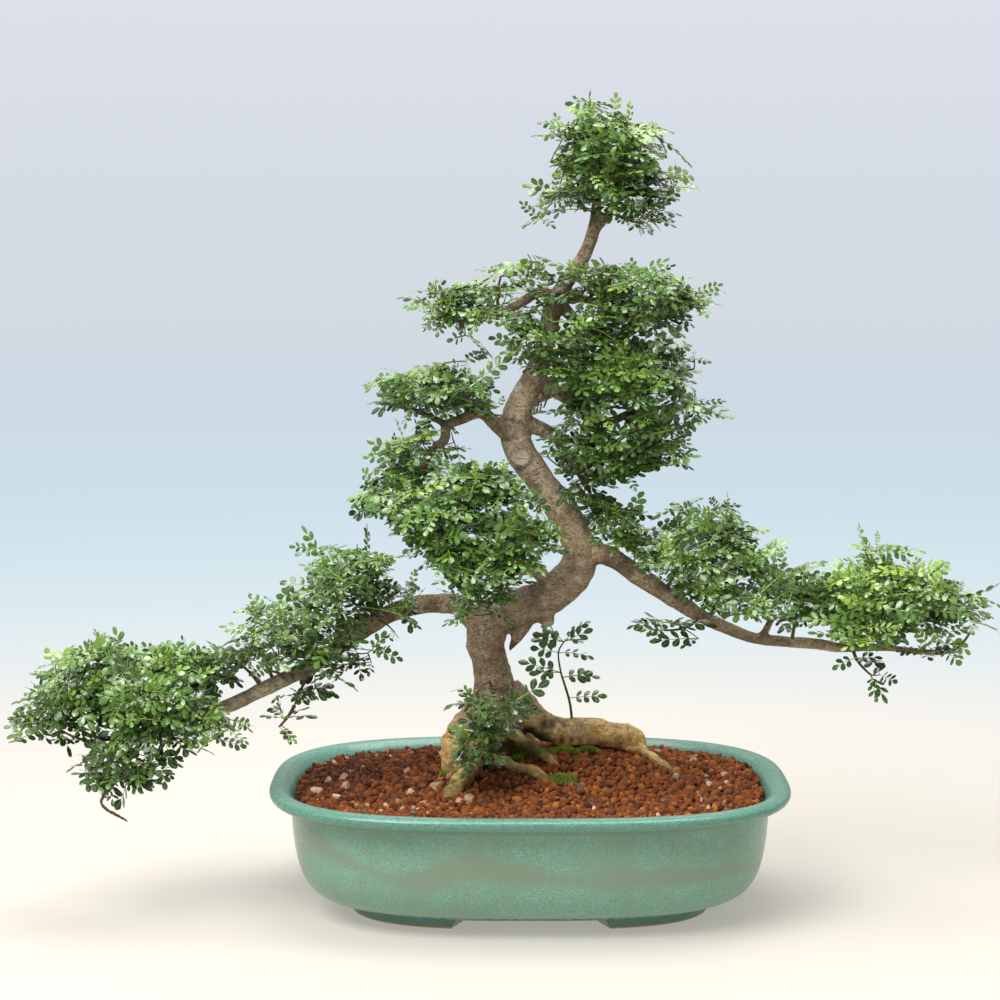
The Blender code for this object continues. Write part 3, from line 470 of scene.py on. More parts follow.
def smooth_path(points: Array, steps: int) -> Array:
    """Catmull-Rom curve through points of any width.

    Between P1 and P2 the value at t is half of 2 P1 + (P2 - P0) t
    + (2 P0 - 5 P1 + 4 P2 - P3) t^2 + (3 P1 - P0 - 3 P2 + P3) t^3.

    Args:
        points: Rows of control points.
        steps: Samples from one control point to the next.

    Returns:
        Rows of samples, the last control point included.
    """
    padded = np.vstack([2 * points[0] - points[1], points, 2 * points[-1] - points[-2]])
    p0, p1, p2, p3 = (padded[i:len(padded) - 3 + i, None, :] for i in range(4))
    t = (np.arange(steps) / steps)[None, :, None]
    curve = 2 * p1 + (p2 - p0) * t + (2 * p0 - 5 * p1 + 4 * p2 - p3) * t**2
    curve = 0.5 * (curve + (3 * p1 - p0 - 3 * p2 + p3) * t**3)
    return np.vstack([curve.reshape(-1, points.shape[1]), points[-1:]])


def ring_frames(line: Array) -> tuple[Array, Array, Array]:
    """Tangent and two cross directions at each point of a line.

    The cross direction is the world axis that the line least follows, less
    its part along the tangent, so neighbouring rings never twist.

    Args:
        line: Rows of points.

    Returns:
        Tangents, first and second cross directions.
    """
    tangents = unit(np.gradient(line, axis=0))
    axis = np.eye(3)[np.argmin(np.abs(tangents).max(axis=0))]
    across = unit(axis - tangents * (tangents @ axis)[:, None])
    return tangents, across, np.cross(tangents, across)


@dataclass
class Shell:
    """Triangles of one closed surface, with numbers that its finish reads.

    Attributes:
        vertices: Rows of points in metres.
        triangles: Rows of three vertex numbers.
        point_values: Named values, one a vertex.
        face_values: Named values, one a triangle.
        material: Place in the piece's list of materials.
    """

    vertices: Array
    triangles: Array
    point_values: dict[str, Array] = field(default_factory=dict)
    face_values: dict[str, Array] = field(default_factory=dict)
    material: int = 0

    @staticmethod
    def rings(rings: Array, middles: Array | Sequence) -> "Shell":
        """Closed skin over rings of points, fanned to a middle point at each end.

        Args:
            rings: Points as rows of rings, each walked round once.
            middles: Middle of the first and of the last ring.

        Returns:
            The skin.
        """
        rows, sides = rings.shape[:2]
        i, k = np.meshgrid(np.arange(rows - 1), np.arange(sides), indexing="ij")
        a, b = (i * sides + k).ravel(), (i * sides + (k + 1) % sides).ravel()
        k = np.arange(sides)
        after, last, middle = (k + 1) % sides, (rows - 1) * sides, np.full(sides, rows * sides)
        corners = ((a, b, b + sides), (a, b + sides, a + sides), (middle, after, k),
                   (middle + 1, last + k, last + after))
        triangles = np.vstack([np.stack(columns, 1) for columns in corners])
        return Shell(np.vstack([rings.reshape(-1, 3), middles]), triangles)

    @staticmethod
    def tube(line: Array, radii: Array, sides: int, **face_values: float) -> "Shell":
        """Tube along a line, closed by a point at each end.

        Ring point k of ring i is line i + radius i times (cos a across
        + sin a other), where a is k turns over the number of sides.

        Args:
            line: Rows of centre points.
            radii: Radius at each of them.
            sides: Points round a ring.
            **face_values: Values that all faces carry.

        Returns:
            The tube's shell.
        """
        _, across, other = ring_frames(line)
        angle = (math.tau * np.arange(sides) / sides)[None, :, None]
        ways = np.cos(angle) * across[:, None] + np.sin(angle) * other[:, None]
        shell = Shell.rings(line[:, None] + radii[:, None, None] * ways, [line[0], line[-1]])
        count = len(shell.triangles)
        shell.face_values = {name: np.full(count, value) for name, value in face_values.items()}
        return shell

    @staticmethod
    def copies(shape: "Shell", turns: Array, places: Array, **face_values: Array) -> "Shell":
        """Many copies of one shape, each turned and moved.

        Args:
            shape: The shape about its own origin.
            turns: One 3 by 3 matrix a copy, scale included.
            places: Where each copy's origin goes.
            **face_values: Values, one a copy, that its faces carry.

        Returns:
            One shell that holds all copies.
        """
        count, size = len(places), len(shape.vertices)
        vertices = np.einsum("nij,vj->nvi", turns, shape.vertices) + places[:, None]
        triangles = shape.triangles[None] + (np.arange(count) * size)[:, None, None]
        points = {name: np.tile(value, count) for name, value in shape.point_values.items()}
        faces = {name: np.tile(value, count) for name, value in shape.face_values.items()}
        for name, value in face_values.items():
            faces[name] = np.repeat(value, len(shape.triangles))
        return Shell(vertices.reshape(-1, 3), triangles.reshape(-1, 3), points, faces, shape.material)

    @staticmethod
    def join(shells: Sequence["Shell"]) -> "Shell":
        """All shells as one, values that a shell lacks set to zero."""
        offsets = np.cumsum([0] + [len(shell.vertices) for shell in shells])
        joined = Shell(np.vstack([shell.vertices for shell in shells]),
                       np.vstack([s.triangles + o for s, o in zip(shells, offsets)]))
        for store, sizes in (("point_values", "vertices"), ("face_values", "triangles")):
            names = sorted({name for shell in shells for name in getattr(shell, store)})
            for name in names:
                rows = [getattr(s, store).get(name, np.zeros(len(getattr(s, sizes)))) for s in shells]
                getattr(joined, store)[name] = np.concatenate(rows)
        joined.face_values["material"] = np.concatenate(
            [np.full(len(shell.triangles), shell.material) for shell in shells])
        return joined

    def to_object(self, name: str, materials: Sequence[Material],
                  sharp_angle: float | None = None) -> Object:
        """Blender object of this shell, shaded smooth.

        Args:
            name: Name of the piece.
            materials: Its materials, in slot order.
            sharp_angle: Edges folded more than this, in radians, stay sharp.

        Returns:
            The new object at the origin.
        """
        mesh = array_mesh(name, self.vertices, self.triangles)
        for material in materials:
            mesh.materials.append(material)
        for store, domain in ((self.point_values, "POINT"), (self.face_values, "FACE")):
            for value_name, values in store.items():
                if value_name == "material":
                    mesh.polygons.foreach_set("material_index", values.astype(np.int32))
                    continue
                attribute = mesh.attributes.new(value_name, "FLOAT", domain)
                attribute.data.foreach_set("value", values.astype(np.float32))
        mesh.shade_smooth()
        if sharp_angle is not None:
            mesh.set_sharp_from_angle(angle=sharp_angle)
        return link_object(name, mesh)


def array_mesh(name: str, vertices: Array, faces: Array) -> Mesh:
    """Mesh from arrays.

    Args:
        name: Name of the mesh.
        vertices: Rows of points in metres.
        faces: Rows of vertex numbers, one row a face.

    Returns:
        The new mesh.
    """
    mesh = bpy.data.meshes.new(name)
    mesh.vertices.add(len(vertices))
    mesh.vertices.foreach_set("co", vertices.astype(np.float32).ravel())
    mesh.loops.add(faces.size)
    mesh.loops.foreach_set("vertex_index", faces.astype(np.int32).ravel())
    mesh.polygons.add(len(faces))
    mesh.polygons.foreach_set("loop_start", (np.arange(len(faces)) * faces.shape[1]).astype(np.int32))
    mesh.update(calc_edges=True)
    return mesh


def link_object(name: str, mesh: Mesh) -> Object:
    """New object at the origin, linked to the scene."""
    piece = bpy.data.objects.new(name, mesh)
    bpy.context.scene.collection.objects.link(piece)
    return piece


def applied_mesh(piece: Object) -> Mesh:
    """New mesh of an object with its modifiers applied."""
    bpy.context.view_layer.update()
    graph = bpy.context.evaluated_depsgraph_get()
    return bpy.data.meshes.new_from_object(piece.evaluated_get(graph))


def mesh_points(mesh: Mesh, what: str = "co") -> Array:
    """Positions or normals of a mesh's vertices, one row each."""
    values = np.zeros(len(mesh.vertices) * 3, np.float32)
    mesh.vertices.foreach_get(what, values)
    return values.reshape(-1, 3).astype(float)


def finish_piece(piece: Object, slot: Slot, *nodes: str) -> None:
    """Let a piece ride on the part and stand for its nodes.

    Args:
        piece: The finished piece.
        slot: Material slot of the record; not used.
        *nodes: CAD nodes that it stands for.
    """
    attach(piece, "root")
    if nodes:
        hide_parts(*nodes)
    LOG.info("%s: %d faces", piece.name, len(piece.data.polygons))


class NodeBench:
    """Adds the nodes of one shader tree and links them.

    Args:
        tree: Node tree of a material or a group.
    """

    def __init__(self, tree: Tree) -> None:
        self.tree = tree

    def add(self, kind: str, inputs: dict | None = None, **settings: object) -> Node:
        """Add a node.

        Args:
            kind: Blender's node type.
            inputs: Socket name or number to a value or to the socket that feeds it.
            **settings: Attributes of the node.

        Returns:
            The new node.
        """
        node = self.tree.nodes.new(kind)
        for name, value in settings.items():
            setattr(node, name, value)
        for key, value in (inputs or {}).items():
            self.feed(value, node.inputs[key])
        return node

    def feed(self, value: object, socket: Socket) -> None:
        """Link a socket to another, or set its plain value."""
        if isinstance(value, Socket):
            self.tree.links.new(value, socket)
        elif isinstance(value, tuple) and len(value) == 3 and socket.type == "RGBA":
            socket.default_value = (*value, 1.0)
        else:
            socket.default_value = value

    def position(self) -> Socket:
        """Object coordinates, which are metres in the part's frame."""
        return self.add("ShaderNodeTexCoord").outputs["Object"]

    def value(self, name: str) -> Socket:
        """Named value that the mesh carries."""
        return self.add("ShaderNodeAttribute", attribute_name=name).outputs["Fac"]

    def math(self, operation: str, a: object, b: object = 0.0, clamp: bool = False) -> Socket:
        """Result of one arithmetic step on two numbers or sockets."""
        return self.add("ShaderNodeMath", {0: a, 1: b}, operation=operation, use_clamp=clamp).outputs[0]

    def plus(self, a: object, b: object, clamp: bool = False) -> Socket:
        """Sum of a and b."""
        return self.math("ADD", a, b, clamp)

    def minus(self, a: object, b: object) -> Socket:
        """What is left of a without b."""
        return self.math("SUBTRACT", a, b)

    def times(self, a: object, b: object, clamp: bool = False) -> Socket:
        """Product of a and b."""
        return self.math("MULTIPLY", a, b, clamp)

    def larger(self, a: object, b: object) -> Socket:
        """The larger of a and b."""
        return self.math("MAXIMUM", a, b)

    def shake(self, noise: Socket, reach: float) -> Socket:
        """Noise about nought: the noise less a half, times the reach."""
        return self.times(self.minus(noise, 0.5), reach)

    def noise(self, vector: object, size: float, detail: float = 3.0, rough: float = 0.5,
              warp: float = 0.0) -> Socket:
        """Noise whose lumps are about size metres across, as a number from 0 to 1."""
        node = self.add("ShaderNodeTexNoise", {
            "Vector": vector, "Scale": 1.0 / size, "Detail": detail, "Roughness": rough, "Distortion": warp,
        })
        return node.outputs["Fac"]

    def stretched(self, vector: object, scale: Point, shift: Point = (0, 0, 0)) -> Socket:
        """Coordinates scaled and shifted on each axis."""
        node = self.add("ShaderNodeMapping", {"Vector": vector, "Location": shift, "Scale": scale})
        return node.outputs["Vector"]

    def between(self, value: object, low: float, high: float, low_out: float = 0.0,
                high_out: float = 1.0) -> Socket:
        """Value carried smoothly from low to high onto low_out to high_out."""
        node = self.add("ShaderNodeMapRange", {
            "Value": value, "From Min": low, "From Max": high, "To Min": low_out, "To Max": high_out,
        }, interpolation_type="SMOOTHSTEP")
        return node.outputs["Result"]

    def fade(self, value: object, low: float, high: float, start: float = 1.0) -> Socket:
        """Start up to low, then smoothly down to 0 at high."""
        return self.between(value, low, high, start, 0.0)

    def mix(self, factor: object, a: object, b: object) -> Socket:
        """Colour between a and b, by a factor from 0 to 1."""
        return self.add("ShaderNodeMix", {0: factor, 6: a, 7: b}, data_type="RGBA").outputs[2]

    def layer(self, colour: object, over: object, mask: object, weight: float) -> Socket:
        """Colour with another one over it, as far as mask times weight says."""
        return self.mix(self.times(mask, weight), colour, over)

    def axis(self, vector: object, name: str) -> Socket:
        """One coordinate of a vector: X, Y or Z."""
        return self.add("ShaderNodeSeparateXYZ", {0: vector}).outputs[name]

    def group(self, tree: Tree, inputs: dict) -> Node:
        """Place a shared group with its own values."""
        return self.add("ShaderNodeGroup", inputs, node_tree=tree)


def new_group(name: str, inputs: dict[str, str], outputs: dict[str, str]) -> tuple[NodeBench, dict, dict]:
    """Empty shader group with named sockets.

    Args:
        name: Name of the group.
        inputs: Socket name to socket type.
        outputs: Socket name to socket type.

    Returns:
        The group's bench, its input sockets and its output sockets by name.
    """
    tree = bpy.data.node_groups.new(name, "ShaderNodeTree")
    for direction, sockets in (("INPUT", inputs), ("OUTPUT", outputs)):
        for socket, kind in sockets.items():
            tree.interface.new_socket(name=socket, in_out=direction, socket_type=kind)
    bench = NodeBench(tree)
    entry = bench.add("NodeGroupInput")
    leave = bench.add("NodeGroupOutput")
    return bench, {s: entry.outputs[s] for s in inputs}, {s: leave.inputs[s] for s in outputs}


def patch_group() -> Tree:
    """Group that blends two colours in soft patches.

    Noise at the given scale is cut between a half less and a half more the
    softness, and the result picks the second colour.
    """
    kinds = {"Vector": "NodeSocketVector", "Scale": "NodeSocketFloat", "Level": "NodeSocketFloat",
             "Softness": "NodeSocketFloat", "Ground": "NodeSocketColor", "Patch": "NodeSocketColor"}
    bench, entry, leave = new_group(
        "patches", kinds, {"Color": "NodeSocketColor", "Mask": "NodeSocketFloat"})
    noise = bench.add("ShaderNodeTexNoise", {"Vector": entry["Vector"], "Scale": entry["Scale"],
                                             "Detail": 4.0, "Roughness": 0.6})
    low = bench.minus(entry["Level"], entry["Softness"])
    high = bench.plus(entry["Level"], entry["Softness"])
    mask = bench.between(noise.outputs["Fac"], low, high)
    bench.feed(bench.mix(mask, entry["Ground"], entry["Patch"]), leave["Color"])
    bench.feed(mask, leave["Mask"])
    return bench.tree


def grain_group() -> Tree:
    """Group that puts out the height of a rough skin: coarse lumps plus half as much fine grain."""
    kinds = {"Vector": "NodeSocketVector", "Scale": "NodeSocketFloat", "Fine Share": "NodeSocketFloat"}
    bench, entry, leave = new_group("grain", kinds, {"Height": "NodeSocketFloat"})
    coarse = bench.add("ShaderNodeTexNoise", {"Vector": entry["Vector"], "Scale": entry["Scale"],
                                              "Detail": 3.0, "Roughness": 0.55})
    fine_scale = bench.times(entry["Scale"], 5.0)
    fine = bench.add("ShaderNodeTexNoise", {"Vector": entry["Vector"], "Scale": fine_scale, "Detail": 2.0})
    share = bench.times(fine.outputs["Fac"], entry["Fine Share"])
    bench.feed(bench.plus(coarse.outputs["Fac"], share), leave["Height"])
    return bench.tree


@dataclass(frozen=True)
class SharedEffects:
    """Groups that several finishes place with their own values."""

    patches: Tree
    grain: Tree

    @staticmethod
    def make() -> "SharedEffects":
        """Build each group once."""
        return SharedEffects(patch_group(), grain_group())


@dataclass(frozen=True)
class Finish:
    """Common settings of a finish; each kind adds its colours and its pattern."""

    name: str
    roughness: float = 0.5
    coat: float = 0.0
    bump: float = 0.2
    coat_roughness: float = 0.12

    def start(self) -> tuple[Material, NodeBench, Node]:
        """New material with its bench and its principled shader."""
        material = bpy.data.materials.new(self.name)
        material.use_nodes = True
        shader = material.node_tree.nodes["Principled BSDF"]
        shader.inputs["Roughness"].default_value = self.roughness
        shader.inputs["Coat Weight"].default_value = self.coat
        shader.inputs["Coat Roughness"].default_value = self.coat_roughness
        return material, NodeBench(material.node_tree), shader

    def add_bump(self, bench: NodeBench, shader: Node, height: Socket, depth: float) -> None:
        """Feed the shader a bumped normal.

        Args:
            bench: The material's bench.
            shader: Its principled shader.
            height: Height from 0 to 1.
            depth: What a height of 1 measures, in metres.
        """
        bump = bench.add("ShaderNodeBump", {"Height": height, "Strength": self.bump, "Distance": depth})
        bench.feed(bump.outputs["Normal"], shader.inputs["Normal"])

    def add_grain(self, bench: NodeBench, shader: Node, effects: SharedEffects, where: Socket,
                  shape: tuple[float, float, float]) -> None:
        """Bump of the shared grain.

        Args:
            bench: The material's bench.
            shader: Its principled shader.
            effects: Shared groups.
            where: Coordinates.
            shape: Grains in a metre, share of the fine grain, and height in metres.
        """
        scale, fine, depth = shape
        skin = bench.group(effects.grain, {"Vector": where, "Scale": scale, "Fine Share": fine})
        self.add_bump(bench, shader, skin.outputs["Height"], depth)


def near_mask(bench: NodeBench, where: Socket, centre: Point, half: Point, low: float,
              high: float) -> Socket:
    """Shader mask round a point: 1 up to low times the half sizes, 0 from high, ragged at its edge.

    Args:
        bench: Where the nodes go.
        where: Object coordinates.
        centre: The point, in millimetres about the pot's foot.
        half: Half sizes in millimetres.
        low: Where the mask starts to fade.
        high: Where it ends.

    Returns:
        The mask's socket.
    """
    shift = tuple(float(v) for v in -place(centre))
    local = bench.add("ShaderNodeVectorMath", {0: where, 1: shift}, operation="ADD").outputs[0]
    local = bench.stretched(local, tuple(1.0 / (size * MM) for size in half))
    length = bench.add("ShaderNodeVectorMath", {0: local}, operation="LENGTH").outputs["Value"]
    return bench.fade(bench.plus(length, bench.shake(bench.noise(where, 0.003), 0.25)), low, high)


@dataclass(frozen=True)
class GlazeFinish(Finish):
    """Celadon glaze that breaks turquoise, runs in grey bands and has dark stains on the lip, with painted
    shade in the crease under the lip and below foot height.

    Heights are in metres above the feet, and a pair is where a zone starts and is full.
    """

    celadon: Colour = (0.176, 0.285, 0.196)
    turquoise: Colour = (0.170, 0.460, 0.350)
    run: Colour = (0.215, 0.260, 0.185)
    # Dark glaze of the lip's stains, also used as painted shade in the crease and low on the pot
    dark_glaze_and_shade: Colour = (0.050, 0.150, 0.110)
    lip: Colour = (0.062, 0.205, 0.160)
    clay: Colour = (0.520, 0.330, 0.190)
    bare_edge: tuple[float, float] = (0.0014, 0.0020)
    dash_start: tuple[float, float] = (0.0068, 0.0078)
    dash_end: tuple[float, float] = (0.0095, 0.0106)
    foot_height: float = 0.0105
    band_height: float = 0.050
    upper_belly: tuple[float, float] = (0.056, 0.072)
    crease_height: float = 0.0795
    lip_edge: tuple[float, float] = (0.081, 0.083)

    def material(self, effects: SharedEffects) -> Material:
        """Glaze over the whole pot, with the bare clay of the foot edges."""
        material, bench, shader = self.start()
        where = bench.position()
        height = bench.axis(where, "Z")
        squeezed = bench.stretched(where, (1.0, 1.0, 1.3))
        fine = bench.between(bench.noise(squeezed, 0.0013, 3.0, 0.65), 0.42, 0.60)
        cloud = bench.between(bench.noise(where, 0.045, 3.0, 0.6), 0.32, 0.66, 0.35, 1.0)
        ledge = bench.plus(height, bench.shake(bench.noise(where, 0.13, 2.0, 0.5, 0.4), 0.060))
        away = bench.math("ABSOLUTE", bench.minus(ledge, self.band_height))
        ragged = bench.shake(bench.noise(where, 0.004, 3.0), 0.010)
        width = bench.between(bench.noise(where, 0.06, 2.0), 0.35, 0.65, -0.004, 0.004)
        band = bench.fade(bench.plus(bench.plus(away, ragged), width), 0.001, 0.011)
        smooth = bench.between(height, self.crease_height - 0.0040, self.crease_height - 0.0025)
        still = bench.minus(1.0, bench.larger(bench.times(band, 0.8), smooth))
        speck = bench.times(bench.times(fine, cloud), still, True)
        colour = bench.layer(bench.mix(speck, self.celadon, self.turquoise), self.run, band, 0.50)
        upper = bench.times(bench.between(ledge, *self.upper_belly),
                            bench.between(bench.noise(where, 0.030, 4.0, 0.65), 0.42, 0.62))
        spotty = bench.between(bench.noise(where, 0.0024, 3.0), 0.38, 0.58, 0.05, 0.30)
        colour = bench.mix(bench.times(upper, spotty), colour, self.lip)
        mottled = bench.layer(self.lip, self.turquoise, fine, 0.50)
        stain = bench.between(bench.noise(where, 0.004, 3.0), 0.50, 0.72, 0.0, 0.55)
        mottled = bench.mix(stain, mottled, self.dark_glaze_and_shade)
        colour = bench.layer(colour, mottled, bench.between(height, *self.lip_edge), 0.85)
        # Painted shade: a dark band along the crease under the lip
        below = bench.between(height, self.crease_height - 0.0010, self.crease_height + 0.0005)
        above = bench.fade(height, self.crease_height + 0.0015, self.crease_height + 0.0030)
        colour = bench.layer(colour, self.dark_glaze_and_shade, bench.times(below, above), 0.45)
        # Painted shade: the feet and the base of the belly turn half dark below foot height
        low = bench.fade(height, self.foot_height, self.foot_height + 0.0015, 0.50)
        colour = bench.mix(low, colour, self.dark_glaze_and_shade)
        dash = bench.times(bench.between(height, *self.dash_start), bench.fade(height, *self.dash_end))
        dash = bench.times(dash, bench.between(bench.noise(where, 0.004), 0.45, 0.55, 0.0, 0.8))
        colour = bench.mix(dash, colour, self.turquoise)
        uneven = bench.plus(height, bench.times(bench.noise(where, 0.004), 0.001))
        bare = bench.fade(uneven, *self.bare_edge)
        bench.feed(bench.mix(bare, colour, self.clay), shader.inputs["Base Color"])
        gloss = bench.between(bench.noise(where, 0.003, 2.0), 0.35, 0.7, 0.34, 0.52)
        bench.feed(bench.larger(gloss, bench.times(bare, 0.85)), shader.inputs["Roughness"])
        self.add_grain(bench, shader, effects, where, (160.0, 0.35, 0.0012))
        return material


@dataclass(frozen=True)
class BarkFinish(Finish):
    """Grey-brown bark with tan specks, ochre towards the roots, green low down, with painted light high up
    and on the left, and painted shade in its hollows, grooves and between the roots.

    Heights and girths are in metres; a pair is where a change starts and ends.
    """

    grey: Colour = (0.500, 0.368, 0.232)
    dark: Colour = (0.085, 0.055, 0.028)
    tan: Colour = (0.840, 0.720, 0.530)
    ruddy: Colour = (0.510, 0.335, 0.195)
    ochre: Colour = (0.980, 0.640, 0.205)
    algae: Colour = (0.060, 0.075, 0.014)
    twig: Colour = (0.170, 0.100, 0.065)
    sawn: Colour = (0.780, 0.680, 0.550)
    # Where painted light turns the bark tan: up the trunk, and out towards the left
    painted_light_heights: tuple[float, float] = (0.18, 0.34)
    painted_light_left: tuple[float, float] = (-0.16, -0.10)
    root_heights: tuple[float, float] = (0.125, 0.180)
    damp_heights: tuple[float, float] = (0.096, 0.106)
    thin_girths: tuple[float, float] = (0.0016, 0.0042)
    # Hollow between the roots, darkened towards algae green as moss and painted shadow
    moss_and_shade_middle: Point = (-5, 18, 105)
    moss_and_shade_half: Point = (26, 26, 16)

    def material(self, effects: SharedEffects, scars: Sequence["Scar"]) -> Material:
        """Bark over trunk, boughs and roots.

        Args:
            effects: Shared groups.
            scars: Cuts whose faces show pale wood.

        Returns:
            The material.
        """
        material, bench, shader = self.start()
        where = bench.position()
        height = bench.axis(where, "Z")
        colour = bench.group(effects.patches, {
            "Vector": where, "Scale": 45.0, "Level": 0.5, "Softness": 0.12,
            "Ground": self.grey, "Patch": self.ruddy,
        }).outputs["Color"]
        blotch = bench.between(bench.noise(where, 0.011, 4.0, 0.65), 0.50, 0.64)
        colour = bench.layer(colour, self.tan, blotch, 0.50)
        # Painted light: the bark turns tan higher up and out on the left, where the light falls
        light = bench.plus(bench.between(height, *self.painted_light_heights, 0.0, 0.22),
                           bench.fade(bench.axis(where, "X"), *self.painted_light_left, 0.60), True)
        colour = bench.mix(light, colour, self.tan)
        stain = bench.between(bench.noise(where, 0.026, 3.0, 0.6), 0.54, 0.68, 0.0, 0.42)
        colour = bench.mix(stain, colour, self.dark)
        flake = bench.between(bench.noise(where, 0.0022, 4.0, 0.75), 0.50, 0.64)
        colour = bench.layer(colour, self.tan, flake, 0.62)
        squeezed = bench.stretched(where, (1.0, 1.0, 1.9))
        crack = bench.fade(bench.noise(squeezed, 0.0032, 5.0, 0.75), 0.36, 0.48)
        colour = bench.layer(colour, self.dark, crack, 0.56)
        # Painted shade: darker in the grooves that the rings sink into the bark
        groove_shade = bench.between(bench.value("ring"), -0.15, -0.45, 0.0, 0.22)
        colour = bench.mix(groove_shade, colour, self.dark)
        pores = bench.add("ShaderNodeTexVoronoi", {
            "Vector": bench.stretched(where, (1.0, 1.0, 1.6)), "Scale": 420.0, "Randomness": 1.0})
        pore = bench.times(bench.fade(pores.outputs["Distance"], 0.18, 0.34),
                           bench.between(bench.noise(where, 0.012), 0.34, 0.52), True)
        colour = bench.layer(colour, self.tan, pore, 0.9)
        ledge = bench.plus(height, bench.times(bench.noise(where, 0.02), 0.05))
        low = bench.fade(ledge, *self.root_heights)
        stain = bench.between(bench.noise(where, 0.0055, 5.0, 0.75), 0.34, 0.50)
        ochre = bench.mix(stain, self.ruddy, self.ochre)
        ochre = bench.layer(ochre, self.dark, crack, 0.36)
        ochre = bench.mix(bench.between(bench.noise(where, 0.02), 0.48, 0.68, 0.0, 0.6), ochre, self.ruddy)
        colour = bench.layer(colour, ochre, low, 0.90)
        ragged = bench.plus(height, bench.times(bench.noise(where, 0.006), 0.012))
        damp = bench.fade(ragged, *self.damp_heights, 0.7)
        # Moss and painted shadow: the hollow between the roots darkens towards algae green
        shade = near_mask(bench, where, self.moss_and_shade_middle, self.moss_and_shade_half, 0.75, 1.15)
        colour = bench.mix(bench.larger(damp, bench.times(shade, 0.92)), colour, self.algae)
        # Painted shade: the sunken places of the bark relief darken
        colour = bench.mix(bench.times(bench.value("hollow"), 0.72, True), colour, self.dark)
        colour = bench.mix(bench.fade(bench.value("girth"), *self.thin_girths, 0.75), colour, self.twig)
        face = 0.0
        for scar in scars:
            face = bench.larger(face, scar.mask(bench, where))
        rings = bench.between(bench.noise(where, 0.0015, 3.0), 0.3, 0.7)
        colour = bench.mix(face, colour, bench.layer(self.sawn, self.tan, rings, 0.35))
        bench.feed(colour, shader.inputs["Base Color"])
        skin = bench.group(effects.grain, {
            "Vector": bench.stretched(where, (1.0, 1.0, 1.5)), "Scale": 260.0, "Fine Share": 0.6})
        self.add_bump(bench, shader, bench.minus(skin.outputs["Height"], bench.times(crack, 0.5)), 0.0044)
        return material


@dataclass(frozen=True)
class LeafFinish(Finish):
    """Glossy leaflet: green from dark to lime by its tone, which holds leaf age and painted shade, pale
    midrib and margin, dull paler back.
    """

    old: Colour = (0.016, 0.052, 0.009)
    middle: Colour = (0.085, 0.205, 0.027)
    new: Colour = (0.290, 0.460, 0.042)
    vein: Colour = (0.270, 0.420, 0.110)
    back: Colour = (0.160, 0.280, 0.095)
    stalk: Colour = (0.300, 0.430, 0.050)

    def material(self) -> Material:
        """Leaf material that reads the leaflets' own values."""
        material, bench, shader = self.start()
        where = bench.position()
        side = bench.math("ABSOLUTE", bench.value("side"))
        tone = bench.plus(bench.value("tone"), bench.shake(bench.noise(where, 0.006), 0.35), True)
        colour = bench.mix(bench.between(tone, 0.0, 0.5), self.old, self.middle)
        colour = bench.mix(bench.between(tone, 0.45, 1.0), colour, self.new)
        vein = bench.fade(side, 0.03, 0.20, 0.55)
        margin = bench.between(side, 0.80, 1.0, 0.0, 0.35)
        colour = bench.mix(bench.larger(vein, margin), colour, self.vein)
        colour = bench.layer(colour, self.back, bench.value("under"), 0.6)
        colour = bench.mix(bench.value("stalk"), colour, self.stalk)
        bench.feed(colour, shader.inputs["Base Color"])
        gloss = bench.between(bench.noise(where, 0.004), 0.3, 0.7, 0.34, 0.48)
        bench.feed(bench.plus(bench.times(bench.value("under"), 0.3), gloss), shader.inputs["Roughness"])
        return material


@dataclass(frozen=True)
class TwigFinish(Finish):
    """Young wood of the shoots: brown at the foot, green towards the tip."""

    brown: Colour = (0.125, 0.072, 0.042)
    green: Colour = (0.120, 0.165, 0.035)

    def material(self, effects: SharedEffects) -> Material:
        """Twig material that reads how green each piece of stem is."""
        material, bench, shader = self.start()
        where = bench.position()
        fleck = bench.between(bench.noise(where, 0.0015, 3.0), 0.35, 0.65, -0.25, 0.25)
        green = bench.plus(bench.value("greenness"), fleck, True)
        bench.feed(bench.mix(green, self.brown, self.green), shader.inputs["Base Color"])
        self.add_grain(bench, shader, effects, where, (700.0, 0.5, 0.0005))
        return material


@dataclass(frozen=True)
class GranuleFinish(Finish):
    """Loose granules or stones whose colour runs from a dark to a light one."""

    dark: Colour = (0.046, 0.012, 0.004)
    middle: Colour = (0.205, 0.050, 0.005)
    light: Colour = (0.420, 0.146, 0.022)
    grain_scale: float = 900.0

    def material(self, effects: SharedEffects) -> Material:
        """Granular material that reads each grain's tone."""
        material, bench, shader = self.start()
        where = bench.position()
        tone = bench.plus(bench.value("tone"), bench.shake(bench.noise(where, 0.0012, 3.0), 0.5), True)
        colour = bench.mix(bench.between(tone, 0.0, 0.5), self.dark, self.middle)
        colour = bench.mix(bench.between(tone, 0.5, 1.0), colour, self.light)
        bench.feed(colour, shader.inputs["Base Color"])
        self.add_grain(bench, shader, effects, where, (self.grain_scale, 0.6, 0.0008))
        return material


@dataclass(frozen=True)
class PlainFinish(Finish):
    """One colour with faint patches and a slight grain, for screens and moss."""

    colour: Colour = (0.5, 0.5, 0.5)
    patch: Colour = (0.45, 0.45, 0.45)
    patch_size: float = 0.004

    def material(self, effects: SharedEffects) -> Material:
        """Material of one colour with soft patches of another."""
        material, bench, shader = self.start()
        where = bench.position()
        patches = bench.group(effects.patches, {
            "Vector": where, "Scale": 1.0 / self.patch_size, "Level": 0.5, "Softness": 0.2,
            "Ground": self.colour, "Patch": self.patch,
        })
        bench.feed(patches.outputs["Color"], shader.inputs["Base Color"])
        if self.bump:
            self.add_grain(bench, shader, effects, where, (1.0 / self.patch_size, 0.5, 0.0002))
        return material


